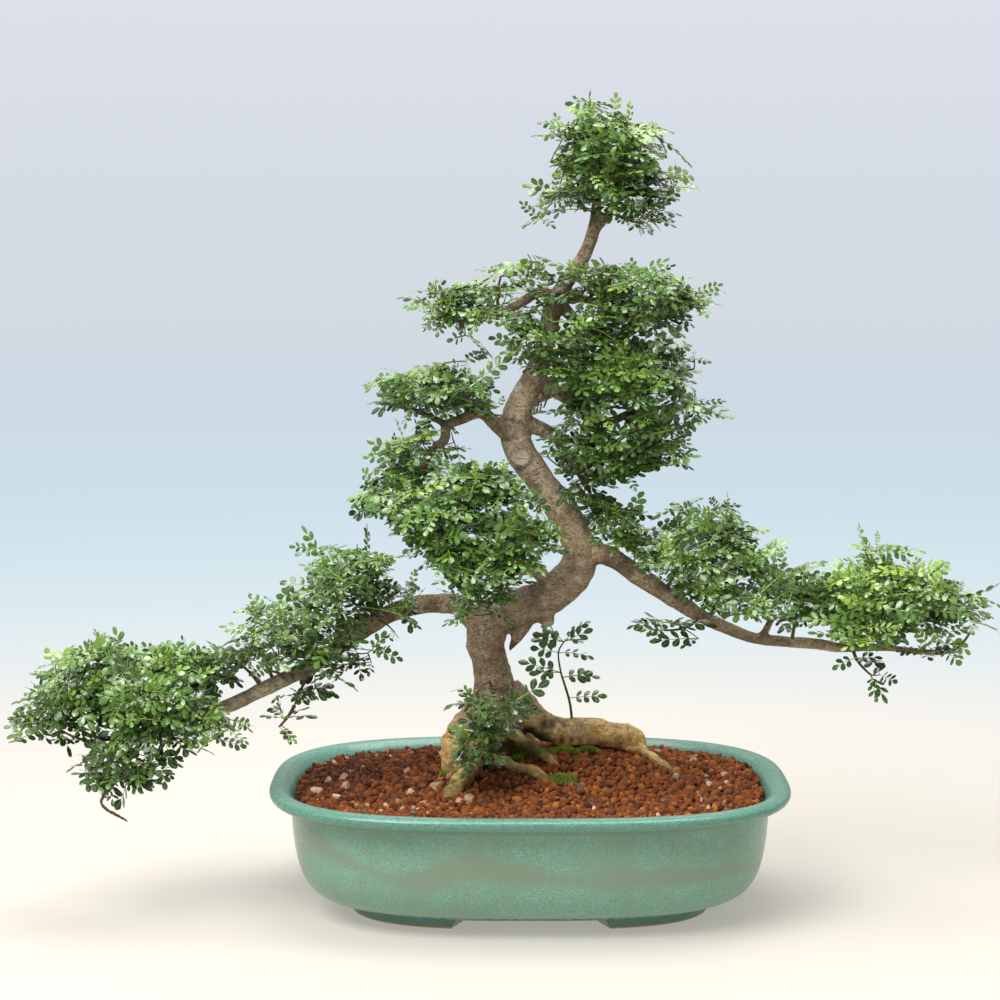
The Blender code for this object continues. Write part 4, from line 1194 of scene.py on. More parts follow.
@dataclass(frozen=True)
class Scar:
    """Healed cut on a limb: a pale oval face with a raised rim.

    Attributes:
        centre: Middle of the face, in millimetres about the pot's foot.
        radius: Half its height, in millimetres.
        width: Its width as a share of its height.
        rim: How far the rim stands out, in millimetres.
    """

    centre: Point
    radius: float
    width: float = 1.0
    rim: float = 0.8

    def mask(self, bench: NodeBench, where: Socket) -> Socket:
        """Shader mask: 1 on the cut face, from the distance to its middle over its radius."""
        half = (self.radius * self.width, self.radius / 0.35, self.radius)
        return near_mask(bench, where, self.centre, half, 0.80, 0.92)

    def lift(self, points: Array) -> Array:
        """How far bark points move outwards, in metres.

        With q the distance over the radius, the rim rises as
        exp(-((q - 1.05) / 0.16)^2) and the face sinks a little inside it.

        Args:
            points: Rows of points in metres.

        Returns:
            One distance a point.
        """
        scale = np.array([self.width, 2.2, 1.0]) * self.radius * MM
        q = np.linalg.norm((points - place(self.centre)) / scale, axis=1)
        rise = np.exp(-((q - 1.05) / 0.16) ** 2) - 0.45 * np.exp(-(q / 0.75) ** 4)
        return self.rim * MM * rise


SCARS = (
    Scar((-7, -8, 317), 6.2, 1.15),
    Scar((-9, -10, 367), 5.0, 0.8, 0.5),
    Scar((-22, -42, 270), 2.6, 1.0, 0.1),
    Scar((-35, -50, 244), 2.4, 1.0, 0.1),
    Scar((-112, -17, 209), 4.2, 1.0, 0.3),
    Scar((13, 8, 196), 4.6, 1.0, 0.3),
    Scar((173, 11, 203), 2.6, 1.0, 0.1),
    Scar((35, 1, 277), 2.0, 1.0, 0.1),
)


def bark_gaps(points: Array, samples: Array) -> Array:
    """Distance from each point to the bark round each limb sample.

    Args:
        points: Points (x, y, z), in any number of rows and columns.
        samples: Rows of x, y, z and radius along the limbs.

    Returns:
        The distances, with the samples along the last axis.
    """
    return np.linalg.norm(points[..., None, :] - samples[:, :3], axis=-1) - samples[:, 3]


@dataclass
class Wood:
    """Trunk, boughs and roots grown into one skin of bark.

    Attributes:
        voxel: Cell of the remesh that grows the limbs together, in metres.
        sides: Points round each limb before that.
        steps: Rings from one control point to the next.
        lump: Height of the broad lumps, as a share of the limb's radius.
        ring: The same for the fine rings.
        root_folds: The same for the folds of the roots.
        root_warts: The same for their warts.
        root_top: Where the roots' own relief ends, in metres.
        batch: Points measured at a time.
    """

    voxel: float = 1.45 * MM
    sides: int = 20
    steps: int = 6
    lump: float = 0.085
    ring: float = 0.045
    root_folds: float = 0.150
    root_warts: float = 0.110
    root_top: float = 0.150
    batch: int = 20000

    def paths(self) -> dict[str, Array]:
        """Smooth path of each limb, rows of x, y, z and radius in metres."""
        paths = {}
        for name, points in {"trunk": TRUNK, **LIMBS, **ROOTS}.items():
            table = np.array(points, float)
            table[:, :3] = place(table[:, :3])
            table[:, 3] *= MM
            paths[name] = smooth_path(table, self.steps)
        return paths

    @staticmethod
    def rounded(path: Array) -> Array:
        """Path with two more rings that round its far end off."""
        end, tangent = path[-1], unit(path[-1, :3] - path[-2, :3])
        extra = [np.append(end[:3] + tangent * end[3] * ahead, end[3] * share)
                 for ahead, share in ((0.45, 0.82), (0.75, 0.45))]
        return np.vstack([path, extra])

    def skin(self, paths: dict[str, Array]) -> Mesh:
        """One closed mesh over all limbs.

        Args:
            paths: Smooth path of each limb.

        Returns:
            The remeshed and lightly smoothed mesh.
        """
        joined = Shell.join([Shell.tube(path[:, :3], path[:, 3], self.sides)
                             for path in map(self.rounded, paths.values())])
        rough = link_object("limbs", array_mesh("limbs", joined.vertices, joined.triangles))
        remesh = rough.modifiers.new("grow", "REMESH")
        remesh.mode = "VOXEL"
        remesh.voxel_size = self.voxel
        relax = rough.modifiers.new("relax", "SMOOTH")
        relax.factor = 0.5
        relax.iterations = 3
        mesh = applied_mesh(rough)
        bpy.data.objects.remove(rough, do_unlink=True)
        return mesh

    def nearest(self, points: Array, paths: dict[str, Array]) -> tuple[Array, Array]:
        """Radius of the nearest limb and distance along it, for each point.

        Args:
            points: Rows of points in metres.
            paths: Smooth path of each limb.

        Returns:
            Radii and distances along, in metres.
        """
        samples = np.vstack(list(paths.values()))
        along = np.concatenate([np.append(0, np.cumsum(np.linalg.norm(np.diff(p[:, :3], axis=0), axis=1)))
                                for p in paths.values()])
        radii, reach = np.zeros(len(points)), np.zeros(len(points))
        for start in range(0, len(points), self.batch):
            part = slice(start, start + self.batch)
            best = bark_gaps(points[part], samples).argmin(axis=1)
            radii[part], reach[part] = samples[best, 3], along[best]
        return radii, reach

    def relief(self, points: Array, radii: Array, rings: Array) -> Array:
        """Height of the bark over the smooth limb, in metres.

        Broad lumps grow with the limb's radius and fine rings run round it;
        the roots add warts, and folds whose height is one less twice the
        absolute noise, so their crests are narrow.

        Args:
            points: Rows of points in metres.
            radii: Radius of the limb at each point.
            rings: Noise from -1 to 1 that changes mostly along the limb.

        Returns:
            One height a point.
        """
        root = np.clip((self.root_top - points[:, 2]) / 0.03, 0.0, 1.0)
        stout = np.minimum(radii, 11 * MM)
        height = self.lump * radii * (value_noise(points, 0.014, 1) + 0.5 * value_noise(points, 0.006, 2))
        height += self.ring * stout * rings
        folds = 1.0 - 2.0 * np.abs(value_noise(points * np.array([1.0, 1.0, 0.6]), 0.0072, 4))
        height += root * self.root_folds * stout * folds
        height += root * self.root_warts * stout * value_noise(points, 0.0045, 5)
        for scar in SCARS:
            height += scar.lift(points)
        return height

    def build(self, material: Material) -> None:
        """Build the bark piece, with its girth, the depth of its hollows for painted shade, and rings as
        values.
        """
        paths = self.paths()
        mesh = self.skin(paths)
        points, normals = mesh_points(mesh), mesh_points(mesh, "normal")
        radii, along = self.nearest(points, paths)
        rings = value_noise(np.stack([along, 0.22 * points[:, 0], 0.22 * points[:, 2]], 1), 0.0036, 3)
        height = self.relief(points, radii, rings)
        mesh.vertices.foreach_set("co", (points + normals * height[:, None]).astype(np.float32).ravel())
        # Depth of the sunken places, which the bark darkens as painted shade
        hollow = np.clip(-height / np.maximum(0.11 * radii, 1e-5), 0.0, 1.0)
        for name, values in (("girth", radii), ("hollow", hollow), ("ring", rings)):
            mesh.attributes.new(name, "FLOAT", "POINT").data.foreach_set("value", values.astype(np.float32))
        mesh.materials.clear()
        mesh.materials.append(material)
        mesh.update()
        mesh.shade_smooth()
        mesh.name = "bark"
        finish_piece(link_object("bark", mesh), Slot.BARK, "trunk_and_branches")


@dataclass
class Leaflet:
    """Obovate leaflet as a thin closed lens that falls off from its midrib.

    With u from foot to tip, the half width is sin(pi u^1.35)^0.62 times half
    the width, the midrib stands proud of the edges by the ridge times the
    same curve, and the whole sheet drops by the curl times u squared.

    Attributes:
        stations: Values of u between foot and tip.
        width: Width as a share of the length.
        ridge: Rise of the midrib over the edges, as a share of the length.
        curl: Drop of the tip, as a share of the length.
    """

    stations: tuple[float, ...] = (0.40, 0.82)
    width: float = 0.70
    ridge: float = 0.050
    curl: float = 0.08

    def shell(self) -> Shell:
        """Leaflet of length one along x, upper side to z."""
        u = np.array(self.stations)
        swell = np.sin(math.pi * u**1.35) ** 0.62
        half = swell * self.width / 2
        bend = -self.curl * u**2
        left = np.stack([u, -half, bend], 1)
        right = np.stack([u, half, bend], 1)
        top = np.stack([u, 0 * u, bend + self.ridge * swell], 1)
        vertices = np.vstack([[(0, 0, 0)], left, top, right, [(1, 0, -self.curl)]])
        count = len(u)
        foot, end = 0, 1 + 3 * count
        near, middle, far = (1 + k * count + np.arange(count) for k in range(3))
        upper = np.vstack([self.strip(near, middle, foot, end), self.strip(middle, far, foot, end)])
        lower = self.strip(far, near, foot, end)
        side = np.concatenate([[0], -np.ones(count), np.zeros(count), np.ones(count), [0]])
        under = np.concatenate([np.zeros(len(upper)), np.ones(len(lower))])
        return Shell(vertices, np.vstack([upper, lower])[:, ::-1], {"side": side},
                     {"under": under, "stalk": np.zeros(len(under))})

    @staticmethod
    def strip(near: Array, far: Array, foot: int, end: int) -> Array:
        """Triangles between two columns of points that meet at foot and end."""
        quads = np.vstack([np.stack([near[:-1], far[:-1], far[1:]], 1),
                           np.stack([near[:-1], far[1:], near[1:]], 1)])
        return np.vstack([[(foot, far[0], near[0])], quads, [(near[-1], far[-1], end)]])


@dataclass
class Frond:
    """Pinnate leaf: an arched stalk with pairs of leaflets and one at its end.

    Attributes:
        pairs: Number of leaflet pairs.
        bare_foot: Stalk below the first pair, in metres.
        pair_step: Stalk from one pair to the next, in metres.
        droop: Drop of the stalk's end, as a share of the length.
        leaflet: Length of a middle leaflet in metres.
        stations: Where a leaflet's outline has points.
        stalk_radius: Radius of the stalk at its foot in metres.
    """

    pairs: int = 3
    bare_foot: float = 4.8 * MM
    pair_step: float = 6.2 * MM
    droop: float = 0.16
    leaflet: float = 7.4 * MM
    stations: tuple[float, ...] = (0.40, 0.82)
    stalk_radius: float = 0.45 * MM

    @property
    def stalk_length(self) -> float:
        """Stalk from its foot to the end leaflet."""
        return self.bare_foot + self.pair_step * (self.pairs - 0.35)

    def shell(self, draw: np.random.Generator) -> Shell:
        """Frond about its foot: x along the stalk, z to its upper side.

        Args:
            draw: Source of the small differences between leaflets.

        Returns:
            The frond's shell.
        """
        reach = self.bare_foot + self.pair_step * np.arange(self.pairs)
        places = np.repeat(reach / self.stalk_length, 2) + draw.uniform(-0.015, 0.015, 2 * self.pairs)
        places = np.append(places, 1.0)
        sign = np.append(np.tile([-1.0, 1.0], self.pairs), 0.0)
        opening = np.radians(draw.uniform(50, 68, len(places)) - 10 * places) * sign
        pitch = -2 * self.droop * places + draw.normal(0, 0.07, len(places))
        rise = draw.uniform(0.04, 0.20, len(places)) * np.abs(sign)
        roll = draw.normal(0, 0.12, len(places)) - 0.12 * sign
        size = self.leaflet * np.interp(places, [0.2, 0.6, 1.0], [0.80, 1.0, 1.08])
        size = size * draw.uniform(0.90, 1.08, len(places))
        turns = self.turns(opening, pitch + rise, roll) * size[:, None, None]
        leaf = Leaflet(self.stations, draw.uniform(0.56, 0.68)).shell()
        leaves = Shell.copies(leaf, turns, self.stalk(places))
        radii = self.stalk_radius * np.array([1.2, 0.8, 0.5])
        return Shell.join([leaves, Shell.tube(self.stalk(np.linspace(0.0, 1.0, 3)), radii, 3, stalk=1.0)])

    def stalk(self, shares: Array) -> Array:
        """Points on the stalk: it drops by droop times the square of its share."""
        return np.stack([shares, 0 * shares, -self.droop * shares**2], 1) * self.stalk_length

    @staticmethod
    def turns(yaw: Array, pitch: Array, roll: Array) -> Array:
        """Turning matrices: roll about x, then pitch up about y, then yaw about z."""
        zero, one = np.zeros(len(yaw)), np.ones(len(yaw))
        about_z = [np.cos(yaw), -np.sin(yaw), zero, np.sin(yaw), np.cos(yaw), zero, zero, zero, one]
        about_y = [np.cos(pitch), zero, -np.sin(pitch), zero, one, zero, np.sin(pitch), zero, np.cos(pitch)]
        about_x = [one, zero, zero, zero, np.cos(roll), -np.sin(roll), zero, np.sin(roll), np.cos(roll)]
        about_z, about_y, about_x = (np.stack(rows, 1) for rows in (about_z, about_y, about_x))
        return about_z.reshape(-1, 3, 3) @ about_y.reshape(-1, 3, 3) @ about_x.reshape(-1, 3, 3)


@dataclass
class FrondSet:
    """A few fronds of different sizes, of which the whole foliage is made.

    Attributes:
        fine: Number of fronds with many small leaflets.
        broad: Number of fronds with few large leaflets, as old hanging shoots have.
    """

    fine: int = 14
    broad: int = 6

    def shells(self, draw: np.random.Generator) -> tuple[list[Shell], list[Shell]]:
        """Fine and broad fronds, each shell with its own small differences."""
        fine, broad = [], []
        for index in range(self.fine):
            pairs = (3, 4, 3, 4, 2, 3, 4)[index % 7]
            frond = Frond(pairs, droop=draw.uniform(0.05, 0.24), leaflet=draw.uniform(6.9, 8.2) * MM)
            fine.append(frond.shell(draw))
        for index in range(self.broad):
            frond = Frond(2 + index % 2, 7.0 * MM, 7.0 * MM, draw.uniform(0.1, 0.3),
                          draw.uniform(8.4, 10.0) * MM, (0.28, 0.62, 0.90))
            broad.append(frond.shell(draw))
        return fine, broad


def bent_line(start: Array, bend: Array, end: Array, count: int) -> Array:
    """Curve (1-t)^2 A + 2t(1-t) B + t^2 C from A, drawn towards B, to C.

    Args:
        start: Point A.
        bend: Point B.
        end: Point C.
        count: Number of points on it.

    Returns:
        Rows of points.
    """
    t = np.linspace(0.0, 1.0, count)[:, None]
    return start * (1 - t) ** 2 + bend * 2 * t * (1 - t) + end * t**2


@dataclass
class Seats:
    """Where fronds sit: rows of foot, direction, upper side, size and tone."""

    feet: list[Array] = field(default_factory=list)
    along: list[Array] = field(default_factory=list)
    face: list[Array] = field(default_factory=list)
    size: list[float] = field(default_factory=list)
    tone: list[float] = field(default_factory=list)

    def add(self, foot: Array, along: Array, face: Array, size: float, tone: float) -> None:
        """Add one seat."""
        self.feet.append(foot)
        self.along.append(unit(along))
        self.face.append(face)
        self.size.append(size)
        self.tone.append(tone)

    def turns(self) -> Array:
        """Matrices whose columns are along, side and upper side, times the size."""
        along, face = np.array(self.along), np.array(self.face)
        face = unit(face - along * (face * along).sum(axis=1, keepdims=True))
        turns = np.stack([along, np.cross(face, along), face], axis=2)
        return turns * np.array(self.size)[:, None, None]


@dataclass
class SprayBuilder:
    """Dresses each spray: a stem, twigs into its pads, and a rosette of fronds on each twig.

    Attributes:
        fine: Fine fronds to draw from.
        broad: Broad fronds, for old and hanging shoots.
        wood: Paths of the limbs, which carry the sprays.
        soil: The soil, which fronds keep clear of.
        draw: Source of the small differences.
        spacing: Distance between rosettes on each axis, in millimetres.
        overhang: How far fronds reach out of the cloud of rosettes, in millimetres.
        shake: How far rosettes stray, as a share of half their spacing.
        core: Radius of a pad's shaded core, as a share of its half sizes.
        core_share: Share of the core's rosettes that is kept.
        rosette: Least and most fronds on a twig.
        end_rosette: Fronds at the end of the stem.
        stop_short: How far the stem ends before the tip, in metres.
        stem_radius: Radius of the stem's foot, in metres.
        twig_radius: Radius of a twig's foot, in metres.
        clearance: Least distance of a frond from a limb's bark, in metres.
        stray: Least and most distance that most fronds may end outside the pads, in metres.
        far_stray: The same for the few fronds that stand out.
        far_share: Share of the fronds that may stand out.
        broad_slack: Added to that distance for broad fronds.
        dome: How far fronds turn into the plane square to their rosette's face.
        rim: Half sizes of the oval round the pot in which fronds stay above it, in millimetres.
        rim_top: How high above the feet that is, at least.
        ground_gap: How high above the soil.
        hidden: Share of a frond that may lie in front of a bare stretch.
    """

    fine: list[Shell]
    broad: list[Shell]
    wood: dict[str, Array]
    soil: "SoilBed"
    draw: np.random.Generator
    spacing: Point = (13.0, 15.0, 12.5)
    overhang: Point = (12.0, 12.0, 6.0)
    shake: Point = (0.45, 0.45, 0.24)
    core: float = 0.55
    core_share: float = 0.45
    rosette: tuple[int, int] = (6, 8)
    end_rosette: int = 5
    stop_short: float = 24.0 * MM
    stem_radius: float = 1.5 * MM
    twig_radius: float = 0.8 * MM
    clearance: float = 1.2 * MM
    stray: tuple[float, float] = (-8.0 * MM, 4.0 * MM)
    far_stray: tuple[float, float] = (4.0 * MM, 15.0 * MM)
    far_share: float = 0.26
    broad_slack: float = 4.0 * MM
    dome: float = 0.62
    rim: tuple[float, float] = (185.0, 139.0)
    rim_top: float = 91.0
    ground_gap: float = 5.0
    hidden: float = 0.30

    @staticmethod
    def vigour(name: str) -> Vigour:
        """How fresh a spray's leaves are, from where it grows."""
        if name.startswith("spray_arm") and "hanging" not in name:
            return Vigour.NEW
        if any(word in name for word in ("under", "base", "sprout", "hanging", "drooping", "tuft")):
            return Vigour.SHADED
        if any(word in name for word in ("crown", "right", "collar", "shoulder")):
            return Vigour.FRESH
        return Vigour.SETTLED

    def stem(self, shoot: Shoot) -> Array:
        """Stem's line, which leaves the limb's axis square to it and ends short of the tip.

        Args:
            shoot: Course of the shoot.

        Returns:
            Rows of points in metres.
        """
        path = self.wood[shoot.limb]
        start, end = place(shoot.foot), place(shoot.tip)
        nearest = np.linalg.norm(path[:, :3] - start, axis=1).argmin()
        tangent = unit(path[min(nearest + 1, len(path) - 1), :3] - path[max(nearest - 1, 0), :3])
        if nearest >= len(path) - 3:
            origin, out = path[-1, :3], tangent
        else:
            origin = path[nearest, :3]
            out = end - origin
            out = unit(out - tangent * (out @ tangent))
        reach = np.linalg.norm(end - origin)
        stop = end - unit(end - origin) * min(self.stop_short, 0.45 * reach)
        return bent_line(origin, origin + out * np.linalg.norm(stop - origin) * 0.45, stop, 9)

    def rosette_places(self, pad: Pad) -> Array:
        """Middles of a pad's rosettes: layers inside the ellipsoid, shaken and thinned out in the core.

        A point p stays where the sum of (p / half)^2 over the axes is about
        one or less, the half sizes being the pad's less the overhang, and
        where a slow noise leaves no gap.  The shake is slight upwards, so the
        layers of foliage stay apart.  Small pads are filled more closely.

        Args:
            pad: The pad.

        Returns:
            Rows of points in metres.
        """
        half = np.array(pad.half, float)
        spacing = np.array(self.spacing) * np.clip(half.mean() / 30.0, 0.62, 1.0)
        half = np.maximum(half - np.array(self.overhang), 0.45 * half)
        counts = np.maximum(np.round(2 * half / spacing), 1).astype(int)
        axes = [(np.arange(n) + 0.5) / n * 2 - 1 for n in counts]
        grid = np.stack(np.meshgrid(*axes, indexing="ij"), -1).reshape(-1, 3)
        grid = grid + self.draw.uniform(-1, 1, grid.shape) * np.array(self.shake) * 2 / counts
        radius = np.linalg.norm(grid, axis=1)
        drawn = self.draw.uniform(size=len(grid)) < self.core_share
        keep = (radius < 1.08) & ((radius > self.core) | drawn)
        spots = place(np.array(pad.centre) + grid[keep] * half)
        gap = -0.24 if min(pad.half) > 22 else -1.0
        return spots[value_noise(spots * np.array([1.0, 1.0, 1.9]), 0.025, 7) > gap]

    def twigs(self, stem: Array, ends: Array) -> list[Array]:
        """Twigs that end at the rosettes, each from the nearest wood grown so far and rising at its end.

        Args:
            stem: The spray's stem.
            ends: Where twigs end, in metres.

        Returns:
            One line a twig.
        """
        nodes = stem[1:]
        gap = np.linalg.norm(ends[:, None] - nodes[None], axis=2).min(axis=1)
        lines = []
        for end in ends[np.argsort(gap)]:
            root = nodes[np.linalg.norm(nodes - end, axis=1).argmin()]
            bend = root + (end - root) * np.array([0.60, 0.60, 0.30]) + self.draw.normal(0, 0.8 * MM, 3)
            lines.append(bent_line(root, bend, end, 4))
            nodes = np.vstack([nodes, lines[-1][2:]])
        return lines

    def add_rosette(self, seats: Seats, at: Array, outward: Array, count: int, tone: float,
                    lift: float) -> None:
        """Fan fronds round the end of a twig as a low dome whose upper side looks up and outwards.

        Frond k of n leaves at the angle a + w (2 (k + 1/2) / n - 1) from above,
        where a is the outward way and w shrinks from a half turn in the
        pad's middle to a third of a turn at its rim.  Each frond is then
        turned most of the way into the plane square to the dome's face.

        Args:
            seats: Where the fronds are noted.
            at: End of the twig.
            outward: Direction away from the pad's middle.
            count: Number of fronds.
            tone: Their tone: how fresh they are, with painted shade where a pad's core darkens it.
            lift: Mean angle above the level, in radians.
        """
        level = math.hypot(outward[0], outward[1])
        base = math.atan2(outward[1], outward[0])
        width = math.pi * (1.0 - 0.40 * level)
        flat_out = np.array([outward[0], outward[1], 0.0])
        for index in range(count):
            turn = base + width * (2 * (index + 0.5) / count - 1) + self.draw.uniform(-0.35, 0.35)
            rise = lift + self.draw.uniform(-0.40, 0.50)
            flat = math.cos(rise)
            ahead = np.array([math.cos(turn) * flat, math.sin(turn) * flat, math.sin(rise)])
            face = unit(0.80 * UP + 0.45 * flat_out + FRONT_SIDE + self.draw.normal(0, 0.36, 3))
            along = ahead - self.dome * face * (face @ ahead)
            seats.add(at, along, face, self.draw.uniform(0.78, 1.10), tone + self.draw.normal(0, 0.15))

    def add_young(self, seats: Seats, at: Array, outward: Array, tone: float) -> None:
        """Small bright frond that unfolds upwards in the middle of a rosette."""
        along = UP + 0.7 * outward + self.draw.normal(0, 0.35, 3)
        face = 0.4 * UP + outward + FRONT_SIDE + self.draw.normal(0, 0.3, 3)
        seats.add(at, along, face, self.draw.uniform(0.50, 0.72), tone + 0.42)

    def dress(self, name: str, share: Array) -> tuple[list[Shell], Seats]:
        """Stem, twigs and frond seats of one spray.

        Args:
            name: Name of the spray.
            share: Its rosettes, as share_out gives them.

        Returns:
            Shells of the stem and twigs, and the seats.
        """
        shoot, fresh, seats = SHOOTS[name], self.vigour(name).value, Seats()
        line = self.stem(shoot)
        inside = np.flatnonzero(self.outside(line) < 4 * MM)
        line = line[:max(inside.max() + 1 if len(inside) else 0, 4)]
        radii = np.linspace(1.0, 0.5, len(line)) * self.stem_radius
        stems = [Shell.tube(line, radii, 5, greenness=0.1 + 0.3 * fresh)]
        ends = share[:, :3]
        for twig in self.twigs(line, ends) if len(ends) else []:
            reach = np.linalg.norm(twig[-1] - twig[0])
            radii = np.linspace(1.0, 0.55, 4) * self.twig_radius * np.clip(reach / (22 * MM), 0.7, 1.25)
            stems.append(Shell.tube(twig, radii, 4, greenness=0.25 + 0.5 * fresh))
            row = share[np.linalg.norm(ends - twig[-1], axis=1).argmin()]
            outward, (height, depth) = row[3:6], row[6:]
            # Tone: fresher high in a pad, darker in its core; partly the leaves' age, partly painted shade
            # inside the foliage
            tone = fresh + 0.22 * height - 0.40 * (1 - depth) + self.draw.normal(0, 0.08)
            count = int(self.draw.integers(self.rosette[0], self.rosette[1] + 1))
            self.add_rosette(seats, twig[-1], outward, count, tone, 0.12 + 0.42 * height)
            if self.draw.uniform() < 0.42 + 0.30 * height:
                self.add_young(seats, twig[-1], outward, tone)
            if reach > 16 * MM:
                self.add_rosette(seats, twig[2], outward, 1, tone - 0.08, 0.1)
        ahead = unit(place(shoot.tip) - line[-1])
        self.add_rosette(seats, line[-1], ahead, self.end_rosette, fresh + 0.15, 0.5 * ahead[2])
        seats.add(line[-1], ahead + 0.08 * UP, 0.9 * UP + self.draw.normal(0, 0.2, 3), 1.0, fresh + 0.2)
        return stems, seats

    def sprout(self, foot: Point) -> tuple[list[Shell], Seats]:
        """Young upright shoot: a bare stem with widely spaced fronds and a tuft of them at its top.

        Args:
            foot: Its foot in millimetres.

        Returns:
            Shells of the stem, and the frond seats.
        """
        points = [foot, (30, 34, 133), (26, 30, 148), (23, 28, 158), (21, 26, 173), (25, 25, 181)]
        line = smooth_path(place(points), 3)
        # Tiers of fronds: share of the stem, rise, and where each looks, -1 for left to 1 for right
        tiers = ((0.30, 0.05, (-1, 1, -1)), (0.50, 0.20, (-1, 1, 1)), (0.62, 0.3, (-1, -1)),
                 (0.82, 0.30, (-1, 1)), (1.0, 0.30, (-1, 0.2, 0.6, -0.4, -0.8, 0.3)))
        seats = Seats()
        for share, lift, sides in tiers:
            at = line[int(round(share * (len(line) - 1)))]
            for side in sides:
                ahead, rise = self.draw.uniform(-0.6, 0.2), lift + self.draw.uniform(-0.15, 0.15)
                along = np.array([side, ahead, rise])
                face = 0.7 * UP - np.array([0.0, 0.65, 0.0]) + self.draw.normal(0, 0.2, 3)
                seats.add(at, along, face, self.draw.uniform(0.72, 0.95), 0.24)
        radii = np.linspace(1.0, 0.45, len(line)) * self.stem_radius * 0.8
        return [Shell.tube(line, radii, 6, greenness=0.75)], seats

    def share_out(self) -> dict[str, Array]:
        """Give each pad's rosettes to the nearest stem among the pad's sprays.

        Returns:
            For each spray rows of place, outward way, height in the pad from
            -1 to 1, and nearness to its rim from 0 to 1.
        """
        shares = {name: [np.zeros((0, 8))] for name in SHOOTS}
        for pad in PADS:
            names = [word if word in SHOOTS else "spray_" + word for word in pad.sprays.split()]
            stems = [self.stem(SHOOTS[name]) for name in names]
            places = self.rosette_places(pad)
            offset = (places - place(pad.centre)) / (np.array(pad.half) * MM)
            gaps = np.stack([np.linalg.norm(places[:, None] - stem[None], axis=2).min(axis=1)
                             for stem in stems])
            rims = np.minimum(np.linalg.norm(offset, axis=1, keepdims=True) / 0.7, 1.0)
            rows = np.hstack([places, unit(offset + 1e-6), np.clip(offset[:, 2:], -1, 1), rims])
            owners = gaps.argmin(axis=0)
            for index, name in enumerate(names):
                shares[name].append(rows[owners == index])
        return {name: np.vstack(rows) for name, rows in shares.items()}

    def clear(self, shell: Shell, count: int) -> Array:
        """Which copies in a shell keep clear of bark, soil, pot and bare stretches, inside the part's box.

        A point in front of a bare stretch is carried along the line of sight
        of a viewer at eye height onto the stretch's depth, and its distance
        there from the stretch, across and up, is compared with the width.

        Args:
            shell: Shell of equal copies.
            count: Number of copies.

        Returns:
            True for each copy that stays.
        """
        points = shell.vertices.reshape(count, -1, 3)
        low, high = (np.array(corner) for corner in CAD_BOX)
        keep = ((points >= low) & (points <= high)).all(axis=(1, 2))
        local = (points - POT_CENTRE) / MM
        oval = (np.abs(local[..., :2] / np.array(self.rim)) ** 3).sum(axis=-1) < 1.0
        ground = self.soil.height(local[..., 0], local[..., 1]) + self.ground_gap
        keep &= ~(oval & (local[..., 2] < np.maximum(ground, self.rim_top))).any(axis=1)
        gap = bark_gaps(points[:, ::9], np.vstack([path[::3] for path in self.wood.values()]))
        keep &= (gap.min(axis=2) > self.clearance)[:, 1:].all(axis=1)
        eye = np.array(VIEWER_EYE)
        for bare in BARE_STRETCHES:
            start, end = np.array(bare.start, float), np.array(bare.end, float)
            depth = (start[1] + end[1]) / 2
            seen = eye + (local - eye) * ((depth - eye[1]) / (local[..., 1:2] - eye[1]))
            across, reach = (seen - start)[..., ::2], (end - start)[::2]
            share = np.clip((across @ reach) / (reach @ reach), 0, 1)
            off = np.linalg.norm(across - share[..., None] * reach, axis=-1)
            keep &= ((off < bare.half_width) & (local[..., 1] < depth)).mean(axis=1) < self.hidden
        return keep

    @staticmethod
    def outside(points: Array) -> Array:
        """How far points lie outside the nearest pad, in metres.

        A point at p from a pad's middle lies |p| (1 - 1/q) outside it, where
        q is the length of p over the half sizes.
        """
        offset = points[:, None] - place([pad.centre for pad in PADS])[None]
        q = np.linalg.norm(offset / (np.array([pad.half for pad in PADS]) * MM), axis=2)
        return (np.linalg.norm(offset, axis=2) * (1.0 - 1.0 / np.maximum(q, 1e-6))).min(axis=1)

    def trim(self, seats: Seats, reach: Array, slack: float) -> Array:
        """Size of each frond once it ends near enough to the pads, or zero for none.

        Args:
            seats: The fronds' seats.
            reach: Length of each frond at size one, in metres.
            slack: Added to each frond's limit, in metres.

        Returns:
            One factor a frond: 1, 0.8, 0.64 or 0.
        """
        feet, along, size = np.array(seats.feet), np.array(seats.along), np.array(seats.size)
        count = len(feet)
        far = self.draw.uniform(size=count) < self.far_share
        limits = [self.draw.uniform(*stray, count) for stray in (self.far_stray, self.stray)]
        limit = np.where(far, *limits) + slack
        factor = np.zeros(count)
        for share in (0.64, 0.80, 1.0):
            factor[self.outside(feet + along * (reach * size * share)[:, None]) < limit] = share
        return factor

